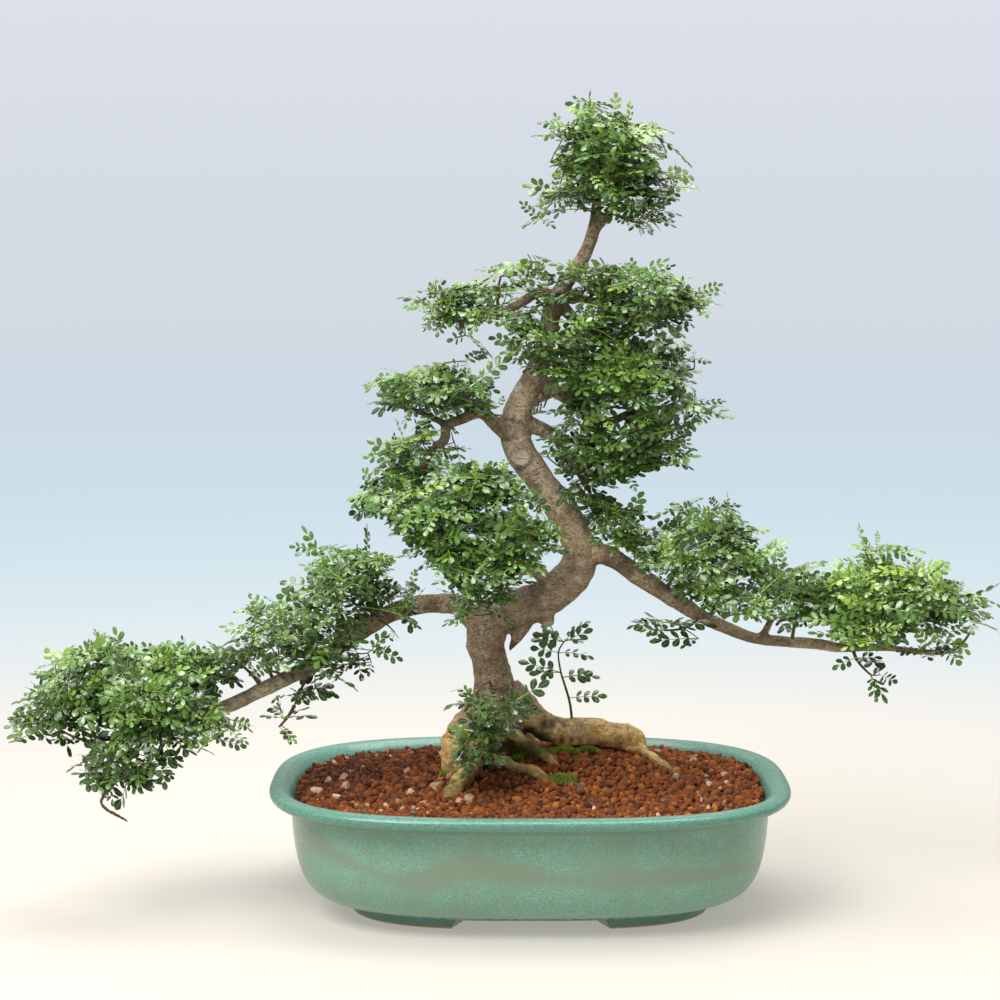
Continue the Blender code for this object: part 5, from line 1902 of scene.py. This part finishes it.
    def build(self, leaf: Material, twig: Material) -> int:
        """Build every spray's piece.

        Args:
            leaf: Leaf material.
            twig: Twig material.

        Returns:
            Number of fronds placed.
        """
        total = 0
        shares = self.share_out()
        for order, (name, shoot) in enumerate(SHOOTS.items()):
            shaded, free = self.vigour(name) is Vigour.SHADED, name == "sprout_on_root"
            stems, seats = self.sprout(shoot.foot) if free else self.dress(name, shares[name])
            fronds = self.broad if shaded else self.fine
            choice = (np.arange(len(seats.feet)) * 5 + order) % len(fronds)
            reach = np.array([frond.vertices[:, 0].max() for frond in fronds])[choice]
            slack = self.broad_slack if shaded else 0.0
            factor = np.ones(len(choice)) if free else self.trim(seats, reach, slack)
            turns, feet, tones = seats.turns(), np.array(seats.feet), np.clip(seats.tone, 0, 1)
            turns = turns * factor[:, None, None]
            shells = []
            for kind, frond in enumerate(fronds):
                keep = np.flatnonzero((choice == kind) & (factor > 0))
                if len(keep):
                    keep = keep[self.clear(Shell.copies(frond, turns[keep], feet[keep]), len(keep))]
                if len(keep):
                    shells.append(Shell.copies(frond, turns[keep], feet[keep], tone=tones[keep]))
                    total += len(keep)
            for stem in stems:
                stem.material = 1
            piece = Shell.join(shells + stems).to_object("leafy_" + name, (leaf, twig), math.radians(65))
            finish_piece(piece, Slot.LEAF, *([name] if name in SPRAYS else []))
        return total


@dataclass
class OvalPot:
    """Glazed pot: a superellipse in plan, with a rolled lip and four feet.

    The outline is |x/a|^n + |y/b|^n = 1, walked as x = a |cos t|^(2/n) and
    y = b |sin t|^(2/n) with the signs of cos and sin.

    Attributes:
        half_length: Half the lip's length in millimetres.
        half_depth: Half its depth.
        roundness: The power n.
        sides: Points round the oval.
        belly: Outside, as insets from the lip and heights above the feet.
        lip: The same for the rolled lip.
        inside: The same down to the floor.
        foot_arc: Where each foot starts and ends round the oval, in degrees.
        foot_steps: Cross-sections along a foot.
        foot_insets: Inset of a foot's outside and inside.
        foot_top: Where a foot ends, inside the pot's bottom.
        drain_x: Middle of a drain hole.
        drain_radius: Its radius.
        edge_angle: Folds of more degrees than this stay sharp.
    """

    half_length: float = 183.0
    half_depth: float = 137.0
    roundness: float = 3.0
    sides: int = 216
    belly: tuple = (
        (60, 6.5), (54.5, 6.8), (50.5, 10.6), (46, 11.2), (36.5, 13.8), (27.6, 20), (21.6, 30), (18.2, 42),
        (16.2, 56), (14.6, 79),
    )
    lip: tuple = (
        (14.6, 79.3), (6.5, 79.8), (1.9, 82.1), (0.1, 85.2), (0.9, 88), (4.5, 89.5), (8.5, 89.4),
        (10.5, 88.7), (15.3, 84.5), (21, 74),
    )
    inside: tuple = ((21, 74), (25, 46), (36, 24), (66, 15))
    foot_arc: tuple[float, float] = (10.0, 76.0)
    foot_steps: int = 28
    foot_insets: tuple[float, float] = (56.0, 74.5)
    foot_top: float = 8.5
    drain_x: float = 60.0
    drain_radius: float = 11.0
    edge_angle: float = 38.0

    def oval(self, inset: Array, angle: Array) -> tuple[Array, Array]:
        """Point on the outline, inset from the lip, at an angle in radians."""
        power = 2.0 / self.roundness
        cosine, sine = np.cos(angle), np.sin(angle)
        x = (self.half_length - inset) * np.sign(cosine) * np.abs(cosine) ** power
        y = (self.half_depth - inset) * np.sign(sine) * np.abs(sine) ** power
        return x, y

    def angles(self) -> Array:
        """Angles round the oval, drawn towards the axes, where the power stretches the steps."""
        t = math.tau * np.arange(self.sides) / self.sides
        return t - 0.17 * np.sin(4 * t)

    def profile(self) -> Array:
        """Rows of inset and height from the underside over the lip to the floor."""
        parts = [smooth_path(np.array(part, float), steps)[:-1]
                 for part, steps in ((self.belly, 4), (self.lip, 5), (self.inside, 3))]
        return np.vstack(parts + [np.array([self.inside[-1]], float)])

    def wall(self) -> Object:
        """Closed body of the pot, its underside and floor closed by fans."""
        inset, z = self.profile().T
        x, y = self.oval(inset[:, None], self.angles()[None, :])
        rings = place(np.stack([x, y, np.broadcast_to(z[:, None], x.shape)], 2))
        return Shell.rings(rings, place([(0, 0, z[0]), (0, 0, z[-1])])).to_object("pot_glazed", ())

    def foot(self, side_x: int, side_y: int) -> Shell:
        """Curved foot under one quarter, its cross-section carried along the oval.

        Args:
            side_x: -1 for the left, 1 for the right.
            side_y: -1 for the front, 1 for the back.

        Returns:
            The foot's shell.
        """
        top = self.foot_top
        outer, inner = self.foot_insets
        section = np.array([(outer + 1.0, 0.0), (outer + 0.2, 0.5), (outer - 0.2, 3.0), (outer - 1.5, top),
                            (inner, top), (inner, 0.5), (inner - 0.7, 0.0)])
        share = np.linspace(0, 1, self.foot_steps)[:, None]
        low, high = self.foot_arc
        lean = 2.5 * (1 - 2 * share) * (1 - section[None, :, 1] / top)
        angle = np.radians(low + (high - low) * share + lean)
        x, y = self.oval(section[None, :, 0], angle)
        z = np.broadcast_to(section[None, :, 1], x.shape)
        grid = place(np.stack([side_x * x, side_y * y, z], 2))
        shell = Shell.rings(grid, [grid[0].mean(axis=0), grid[-1].mean(axis=0)])
        if side_x * side_y < 0:
            shell.triangles = shell.triangles[:, ::-1]
        return shell

    def build(self, material: Material) -> None:
        """Build the pot: wall, feet joined on, and drain holes cut through."""
        pot = self.wall()
        feet = [self.foot(sx, sy).to_object("foot", ()) for sx in (-1, 1) for sy in (-1, 1)]
        drills = []
        for side in (-1, 1):
            line = place([(side * self.drain_x, 0, 0), (side * self.drain_x, 0, 25)])
            drills.append(Shell.tube(line, np.full(2, self.drain_radius * MM), 32).to_object("drill", ()))
        for helpers, operation in ((feet, "UNION"), (drills, "DIFFERENCE")):
            turn_outwards([pot, *helpers])
            combine(pot, helpers, operation)
        pot.data.materials.append(material)
        pot.data.shade_smooth()
        pot.data.set_sharp_from_angle(angle=math.radians(self.edge_angle))
        finish_piece(pot, Slot.GLAZE, "pot")


def turn_outwards(objects: Sequence[Object]) -> None:
    """Recalculate the faces of closed meshes so that they point outwards."""
    for obj in objects:
        work = bmesh.new()
        work.from_mesh(obj.data)
        bmesh.ops.recalc_face_normals(work, faces=work.faces)
        work.to_mesh(obj.data)
        work.free()


def combine(target: Object, helpers: Sequence[Object], operation: str) -> None:
    """Join or cut a piece with helpers, apply the result and remove them.

    Args:
        target: Piece that changes.
        helpers: Closed meshes.
        operation: UNION or DIFFERENCE.
    """
    for helper in helpers:
        modifier = target.modifiers.new("shape", "BOOLEAN")
        modifier.operation = operation
        modifier.object = helper
        modifier.solver = "EXACT"
    result = applied_mesh(target)
    target.modifiers.clear()
    target.data = result
    for helper in helpers:
        bpy.data.objects.remove(helper, do_unlink=True)


@dataclass
class SoilBed:
    """Soil under the granules, with a mounded top, and the loose things on it.

    Attributes:
        pot: The pot that holds it.
        edge_height: Height of the soil at the wall, in millimetres.
        mound_height: Rise of the mound.
        mound_centre: Its middle.
        mound_spread: Its half widths.
        wall_levels: Inset and height of the rings along the wall, from the floor up.
        top_insets: Insets of the rings over the top.
        bed_depth: How far the body's top lies below the granules' own.
        gap_shade_tone: Its tone, that of dark granules, as painted shade in the gaps between them.
        grain_spacing: Distance between granules.
        grain_size: Least and most granule radius.
        grain_shake: How far a granule strays from its grid.
        grain_room: Inset of the outermost granules.
        fine_rim: Half sizes of the oval where granules are smaller.
        grain_sink: How far granules lie under the mound's surface.
        grain_lift: Least and most that one lies above that.
        grain_tone: Mean tone of the granules and its spread.
        far_left_painted_shade: How much darker they are at the far left, as painted shade.
        strewn: Number of small stones.
    """

    pot: OvalPot
    draw: np.random.Generator
    edge_height: float = 84.0
    mound_height: float = 18.0
    mound_centre: tuple[float, float] = (20.0, 36.0)
    mound_spread: tuple[float, float] = (95.0, 58.0)
    wall_levels: tuple = ((66.6, 17.6), (36.9, 24.8), (25.9, 46.4), (21.9, 74.0), (17.2, 81.2))
    top_insets: tuple = (22, 35, 50, 65, 80, 95, 110, 125)
    bed_depth: float = 2.2
    gap_shade_tone: float = 0.05
    grain_spacing: float = 4.3
    grain_size: tuple[float, float] = (1.7, 3.7)
    grain_shake: float = 1.2
    grain_room: float = 18.8
    fine_rim: tuple[float, float] = (164.0, 118.0)
    grain_sink: float = 1.7
    grain_lift: tuple[float, float] = (-1.2, 1.4)
    grain_tone: tuple[float, float] = (0.44, 0.20)
    far_left_painted_shade: float = 0.26
    strewn: int = 50

    def height(self, x: Array, y: Array) -> Array:
        """Height of the mound: edge + rise times exp(-dx^2 - dy^2)."""
        dx = (x - self.mound_centre[0]) / self.mound_spread[0]
        dy = (y - self.mound_centre[1]) / self.mound_spread[1]
        return self.edge_height + self.mound_height * np.exp(-dx**2 - dy**2)

    def bed(self, material: Material) -> None:
        """Build the closed body of the soil: walls inside the pot and a gently uneven top."""
        wall = np.array(self.wall_levels)
        x, y = self.pot.oval(np.append(wall[:, 0], self.top_insets)[:, None], self.pot.angles()[None, ::2])
        top = self.height(x, y) - self.bed_depth
        z = np.vstack([np.broadcast_to(wall[:, 1:], x[:len(wall)].shape), top[len(wall):]])
        middle = float(self.height(0.0, 0.0)) - self.bed_depth
        shell = Shell.rings(place(np.stack([x, y, z], 2)), place([(0, 0, wall[0, 1]), (0, 0, middle)]))
        # Painted shade: the body under the granules takes a dark tone, so the gaps between them read dark
        shell.face_values["tone"] = np.full(len(shell.triangles), self.gap_shade_tone)
        piece = shell.to_object("soil_bed", (material,))
        turn_outwards([piece])
        finish_piece(piece, Slot.SOIL, "soil")

    def scatter(self) -> Array:
        """Places for granules: a hexagonal grid, each point shaken, inside the wall."""
        step = self.grain_spacing
        row_step = step * math.sqrt(3) / 2
        rows, columns = (np.arange(-int(reach / size), int(reach / size) + 1)
                         for reach, size in ((125, row_step), (175, step)))
        j, i = np.meshgrid(rows, columns, indexing="ij")
        x = (i + 0.5 * (j % 2)) * step + self.draw.uniform(-self.grain_shake, self.grain_shake, i.shape)
        y = j * row_step + self.draw.uniform(-self.grain_shake, self.grain_shake, i.shape)
        half_x, half_y = self.pot.half_length - self.grain_room, self.pot.half_depth - self.grain_room
        inside = np.abs(x / half_x) ** self.pot.roundness + np.abs(y / half_y) ** self.pot.roundness < 1.0
        return np.stack([x[inside], y[inside]], 1)

    def granules(self, material: Material, wood: dict[str, Array]) -> None:
        """Build the loose clay granules: smaller at the rim, darker far left as painted shade, none inside
        the roots.

        Args:
            material: Granule finish.
            wood: Limb paths, whose thick stretches the granules leave free.
        """
        spots = self.scatter()
        count = len(spots)
        size = self.draw.uniform(*self.grain_size, count) * self.draw.uniform(0.8, 1.1, count)
        oval = (np.abs(spots) / np.array(self.fine_rim)) ** 3
        size = size * (1 - 0.25 * np.clip((oval.sum(axis=1) - 0.86) / 0.14, 0, 1))
        z = self.height(*spots.T) - self.grain_sink + self.draw.uniform(*self.grain_lift, count)
        points = place(np.stack([spots[:, 0], spots[:, 1], z], 1))
        samples = np.vstack(list(wood.values()))
        free = bark_gaps(points, samples[samples[:, 2] < 0.13]).min(axis=1) > -1.5 * MM
        points, size = points[free], size[free] * MM
        # Painted shade: granules darker towards the back left
        far_left = np.clip((-points[:, 0] + points[:, 1]) / 0.16, 0, 1)
        tone = self.draw.normal(*self.grain_tone, len(points)) - self.far_left_painted_shade * far_left
        self.lumps("soil_granules", points, size, np.clip(tone, 0.1, 1), 0, material)

    def lumps(self, name: str, points: Array, size: Array, tone: Array, facets: int,
              material: Material) -> None:
        """Build many small lumps, each one of a few uneven shapes turned at random.

        Args:
            name: Name of the piece.
            points: Where they lie, in metres.
            size: Their radii in metres.
            tone: Their tones.
            facets: Flat sides cut off each ball, or 0 for round lumps.
            material: Their finish.
        """
        kinds = [self.lump(facets, kind) for kind in range(9)]
        choice = np.arange(len(points)) % len(kinds)
        turns = self.random_turns(len(points)) * size[:, None, None]
        shells = [Shell.copies(kinds[k], turns[choice == k], points[choice == k], tone=tone[choice == k])
                  for k in range(len(kinds)) if (choice == k).any()]
        piece = Shell.join(shells).to_object(name, (material,), math.radians(22 if facets else 180))
        finish_piece(piece, Slot.SOIL)

    @staticmethod
    def lump(facets: int, kind: int) -> Shell:
        """Uneven or broken ball of about radius one.

        Each point's radius is 1 + 0.34 noise, no further out than any of the
        flat sides allows, and the axes are stretched.

        Args:
            facets: Number of flat sides.
            kind: Seed of its shape.

        Returns:
            The lump's shell.
        """
        work = bmesh.new()
        bmesh.ops.create_icosphere(work, subdivisions=3 if facets else 1, radius=1.0)
        vertices = np.array([vert.co for vert in work.verts])
        triangles = np.array([[vert.index for vert in face.verts] for face in work.faces])
        work.free()
        radius = 1.0 + 0.34 * value_noise(vertices + 10.0 * kind, 0.9, 20 + kind)
        draw = np.random.default_rng(kind)
        sides = unit(draw.normal(size=(facets, 3)))
        for side, reach in zip(sides, draw.uniform(0.52, 0.84, facets)):
            radius = np.minimum(radius, reach / np.maximum(vertices @ side, 0.05))
        stretch = np.array([1.12 + 0.12 * (kind % 3), 1.0, 0.74 + 0.07 * (kind % 4)])
        return Shell(vertices * radius[:, None] * stretch, triangles)

    def random_turns(self, count: int) -> Array:
        """Turning matrices from evenly spread random quaternions."""
        w, x, y, z = unit(self.draw.normal(size=(count, 4))).T
        rows = [1 - 2 * (y * y + z * z), 2 * (x * y - w * z), 2 * (x * z + w * y),
                2 * (x * y + w * z), 1 - 2 * (x * x + z * z), 2 * (y * z - w * x),
                2 * (x * z - w * y), 2 * (y * z + w * x), 1 - 2 * (x * x + y * y)]
        return np.stack(rows, 1).reshape(-1, 3, 3)

    def stones(self, material: Material) -> None:
        """Build the pale stones: the larger ones where they lie, smaller ones strewn round the edge."""
        # Rows: x, y and radius
        chosen = [
            (-149, -34, 4.2), (-143, -2, 3.2), (-133, 5, 3.4), (-130, -24, 3.8), (-134, -49, 3.2),
            (-88, 13, 2.4), (-84, -38, 3.0), (-90, -64, 2.8), (-74, -67, 2.6), (-66, -26, 4.4),
            (-57, -5, 2.8), (-42, -58, 5.0), (-49, -63, 3.0), (34, -33, 3.6), (104, -6, 2.8),
            (126, -20, 2.6), (92, -64, 2.4), (-66, 60, 2.6), (60, 76, 2.4), (120, 40, 2.6),
            (96, 62, 2.6), (140, 10, 2.6),
        ]
        angle = self.draw.uniform(0, math.tau, self.strewn)
        x, y = self.pot.oval(self.draw.uniform(26, 60, self.strewn), angle)
        strewn = np.stack([x, y, self.draw.uniform(1.2, 2.2, self.strewn)], 1)
        table = np.vstack([np.array(chosen, float), strewn])
        x, y, radius = table.T
        points = place(np.stack([x, y, self.height(x, y) + 0.15 * radius], 1))
        tone = np.clip(self.draw.normal(0.55, 0.30, len(table)), 0, 1)
        self.lumps("stones", points, radius * 1.1 * MM, tone, 8, material)


@dataclass
class Moss:
    """Small cushions of moss: short spikes on the soil and under the roots.

    Attributes:
        cushions: Middle, half width and half depth of each, in millimetres.
        spikes: Spikes for each square millimetre.
        dome: Rise of a cushion's middle, in millimetres.
    """

    soil: SoilBed
    draw: np.random.Generator
    cushions: tuple = (
        (23, -22, 9.5, 8.0), (-20, 14, 10.0, 8.0), (-4, 16, 12.0, 7.0), (10, 20, 9.0, 6.0),
        (26, 24, 10.0, 4.5), (43, 28, 9.0, 3.0), (-60, -2, 4.0, 4.0), (-52, -6, 6.0, 3.5),
    )
    spikes: float = 2.0
    dome: float = 2.6

    def build(self, material: Material) -> None:
        """Build all cushions as one piece of three-sided spikes."""
        places, lean = [], []
        for x, y, half_x, half_y in self.cushions:
            count = int(math.pi * half_x * half_y * self.spikes)
            radius = np.sqrt(self.draw.uniform(0, 1, count))
            angle = self.draw.uniform(0, math.tau, count)
            px, py = x + half_x * radius * np.cos(angle), y + half_y * radius * np.sin(angle)
            dome = self.dome * (1 - radius**2)
            places.append(np.stack([px, py, self.soil.height(px, py) + dome - 1.0], 1))
            lean.append(np.stack([radius * np.cos(angle), radius * np.sin(angle)], 1))
        points, lean = place(np.vstack(places)), np.vstack(lean)
        spike = Shell.tube(np.array([(0, 0, 0), (0, 0, 1.0)]), np.array([0.17, 0.04]), 3)
        axis = unit(np.stack([0.5 * lean[:, 0], 0.5 * lean[:, 1], np.ones(len(lean))], 1)
                    + self.draw.normal(0, 0.22, (len(lean), 3)))
        side = unit(np.cross(axis, np.array([0.3, 1.0, 0.1])))
        turns = np.stack([side, np.cross(axis, side), axis], 2)
        turns = turns * (self.draw.uniform(1.6, 3.0, len(points)) * MM)[:, None, None]
        piece = Shell.copies(spike, turns, points).to_object("moss", (material,))
        finish_piece(piece, Slot.LEAF)


@dataclass
class Studio:
    """Pale floor, soft lights and the camera at the photograph's height.

    Attributes:
        distance: Camera to the pot's middle, in metres.
        height: Camera above the floor.
        camera_x: Camera to the right of the pot's middle.
        pitch: How far it looks down, in degrees.
        lens: Focal length in millimetres.
        sensor: Width of the sensor in millimetres.
        aim: What the lights look at.
        floor_radius: Radius of the round floor in metres.
        floor_sides: Its number of sides.
        floor_gap: How far it lies under the feet.
        floor_fade: Distances from the middle where it starts to fade and is gone.
        floor_near: Its colour.
        floor_glow: Light of its own, which evens its shadows out.
        around: Light that comes from all sides.
        gradient: Colours of the backdrop with the height of the line of sight.
    """

    distance: float = 1.6
    height: float = 0.455
    camera_x: float = -0.021
    pitch: float = 6.02
    lens: float = 82.3
    sensor: float = 36.0
    aim: Point = (0, 0, 0.25)
    floor_radius: float = 1.2
    floor_sides: int = 96
    floor_gap: float = 0.0002
    floor_fade: tuple[float, float] = (0.30, 1.15)
    floor_near: Colour = (0.396, 0.376, 0.342)
    floor_glow: float = 0.85
    around: Colour = (0.46, 0.455, 0.44)
    gradient: tuple = (
        (-0.32, (0.965, 0.940, 0.890)), (-0.20, (0.930, 0.925, 0.890)), (-0.148, (0.720, 0.830, 0.880)),
        (-0.105, (0.615, 0.745, 0.825)), (-0.061, (0.610, 0.700, 0.780)), (-0.018, (0.655, 0.705, 0.765)),
        (0.026, (0.670, 0.712, 0.790)), (0.11, (0.715, 0.750, 0.835)),
    )

    def camera(self) -> None:
        """Camera in front, looking along +Y and a little down."""
        data = bpy.data.cameras.new("camera")
        data.lens = self.lens
        data.sensor_width = self.sensor
        camera = bpy.data.objects.new("camera", data)
        camera.location = (POT_CENTRE[0] + self.camera_x, -self.distance, self.height)
        camera.rotation_euler = (math.radians(90 - self.pitch), 0.0, 0.0)
        bpy.context.scene.collection.objects.link(camera)
        bpy.context.scene.camera = camera

    def light(self, name: str, place_m: Point, size: float, power: float, colour: Colour) -> None:
        """Square area light aimed at the middle of the tree.

        Args:
            name: Name of the light.
            place_m: Where it hangs, in metres.
            size: Its side in metres.
            power: Its power in watts.
            colour: Its colour.
        """
        data = bpy.data.lights.new(name, "AREA")
        data.shape = "SQUARE"
        data.size = size
        data.energy = power
        data.color = colour
        lamp = bpy.data.objects.new(name, data)
        lamp.location = place_m
        lamp.rotation_euler = (Vector(self.aim) - Vector(place_m)).to_track_quat("-Z", "Y").to_euler()
        bpy.context.scene.collection.objects.link(lamp)

    def backdrop(self) -> None:
        """Pale backdrop by height alone: warm white below, pale blue above; even light on the tree."""
        world = bpy.data.worlds.new("studio")
        bpy.context.scene.world = world
        world.use_nodes = True
        bench = NodeBench(world.node_tree)
        background = world.node_tree.nodes["Background"]
        rise = bench.axis(bench.add("ShaderNodeTexCoord").outputs["Generated"], "Z")
        colour = self.gradient[0][1]
        for (low, _), (high, shade) in zip(self.gradient, self.gradient[1:]):
            step = bench.add("ShaderNodeMapRange", {"Value": rise, "From Min": low, "From Max": high})
            colour = bench.mix(step.outputs["Result"], colour, shade)
        seen = bench.add("ShaderNodeLightPath").outputs["Is Camera Ray"]
        bench.feed(bench.mix(seen, self.around, colour), background.inputs["Color"])
        background.inputs["Strength"].default_value = 1.0

    def floor_material(self) -> Material:
        """Warm white floor round the pot that fades into the backdrop with the distance from it."""
        material, bench, shader = Finish("floor", 0.9).start()
        away = bench.add("ShaderNodeVectorMath", {0: bench.position()}, operation="LENGTH").outputs["Value"]
        bench.feed(bench.fade(away, *self.floor_fade), shader.inputs["Alpha"])
        for name in ("Base Color", "Emission Color"):
            bench.feed(self.floor_near, shader.inputs[name])
        shader.inputs["Emission Strength"].default_value = self.floor_glow
        shader.inputs["Specular IOR Level"].default_value = 0.0
        return material

    def floor(self) -> None:
        """Round floor at the feet's height."""
        corners = np.arange(self.floor_sides)
        angle = math.tau * corners / self.floor_sides
        x, y = self.floor_radius * np.cos(angle), self.floor_radius * np.sin(angle)
        rim = np.stack([x, y, 0 * angle - self.floor_gap], 1)
        mesh = bpy.data.meshes.new("floor")
        mesh.from_pydata(rim.tolist(), [], [corners.tolist()])
        mesh.materials.append(self.floor_material())
        link_object("floor", mesh)

    def build(self) -> None:
        """Set the whole studio up."""
        self.camera()
        self.light("softbox", (-0.9, -1.1, 1.8), 1.2, 50.0, (1.0, 0.985, 0.96))
        self.light("top", (0.2, 0.1, 2.0), 1.5, 36.0, (1.0, 0.99, 0.97))
        self.light("rear", (-0.1, 1.5, 1.6), 1.4, 6.0, (0.97, 0.99, 1.0))
        self.backdrop()
        self.floor()
        bpy.context.scene.view_settings.view_transform = "Standard"


def dress_screens(material: Material) -> None:
    """Give the drain screens their plastic."""
    for name in ("drain_screen_left", "drain_screen_right"):
        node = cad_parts[name]
        node.data.materials.clear()
        node.data.materials.append(material)


def main() -> None:
    """Build the studio, then each part of the bonsai."""
    logging.basicConfig(level=logging.INFO, format="%(message)s")
    draw = np.random.default_rng(SEED)
    effects = SharedEffects.make()
    Studio().build()
    wood = Wood()
    bark = BarkFinish("bark", 0.78, bump=0.75).material(effects, SCARS)
    wood.build(bark)
    pot = OvalPot()
    pot.build(GlazeFinish("celadon_glaze", 0.28, 0.4, 0.25).material(effects))
    plastic = PlainFinish("screen_plastic", 0.55, colour=(0.02, 0.02, 0.022), patch=(0.03, 0.03, 0.03))
    dress_screens(plastic.material(effects))
    soil = SoilBed(pot, draw)
    earth = GranuleFinish("clay_granules", 0.92, bump=0.6).material(effects)
    soil.bed(earth)
    soil.granules(earth, wood.paths())
    soil.stones(GranuleFinish("stones", 0.8, bump=0.4, dark=(0.12, 0.09, 0.075), middle=(0.40, 0.24, 0.15),
                              light=(0.62, 0.46, 0.33), grain_scale=500.0).material(effects))
    moss = PlainFinish("moss", 0.9, bump=0.0, colour=(0.085, 0.165, 0.012), patch=(0.240, 0.340, 0.025),
                       patch_size=0.005)
    Moss(soil, draw).build(moss.material(effects))
    leaf = LeafFinish("leaf", 0.36, 0.85).material()
    twig = TwigFinish("twig", 0.7, bump=0.4).material(effects)
    fine, broad = FrondSet().shells(draw)
    builder = SprayBuilder(fine, broad, wood.paths(), soil, draw)
    LOG.info("fronds: %d", builder.build(leaf, twig))


if __name__ == "__main__":
    main()
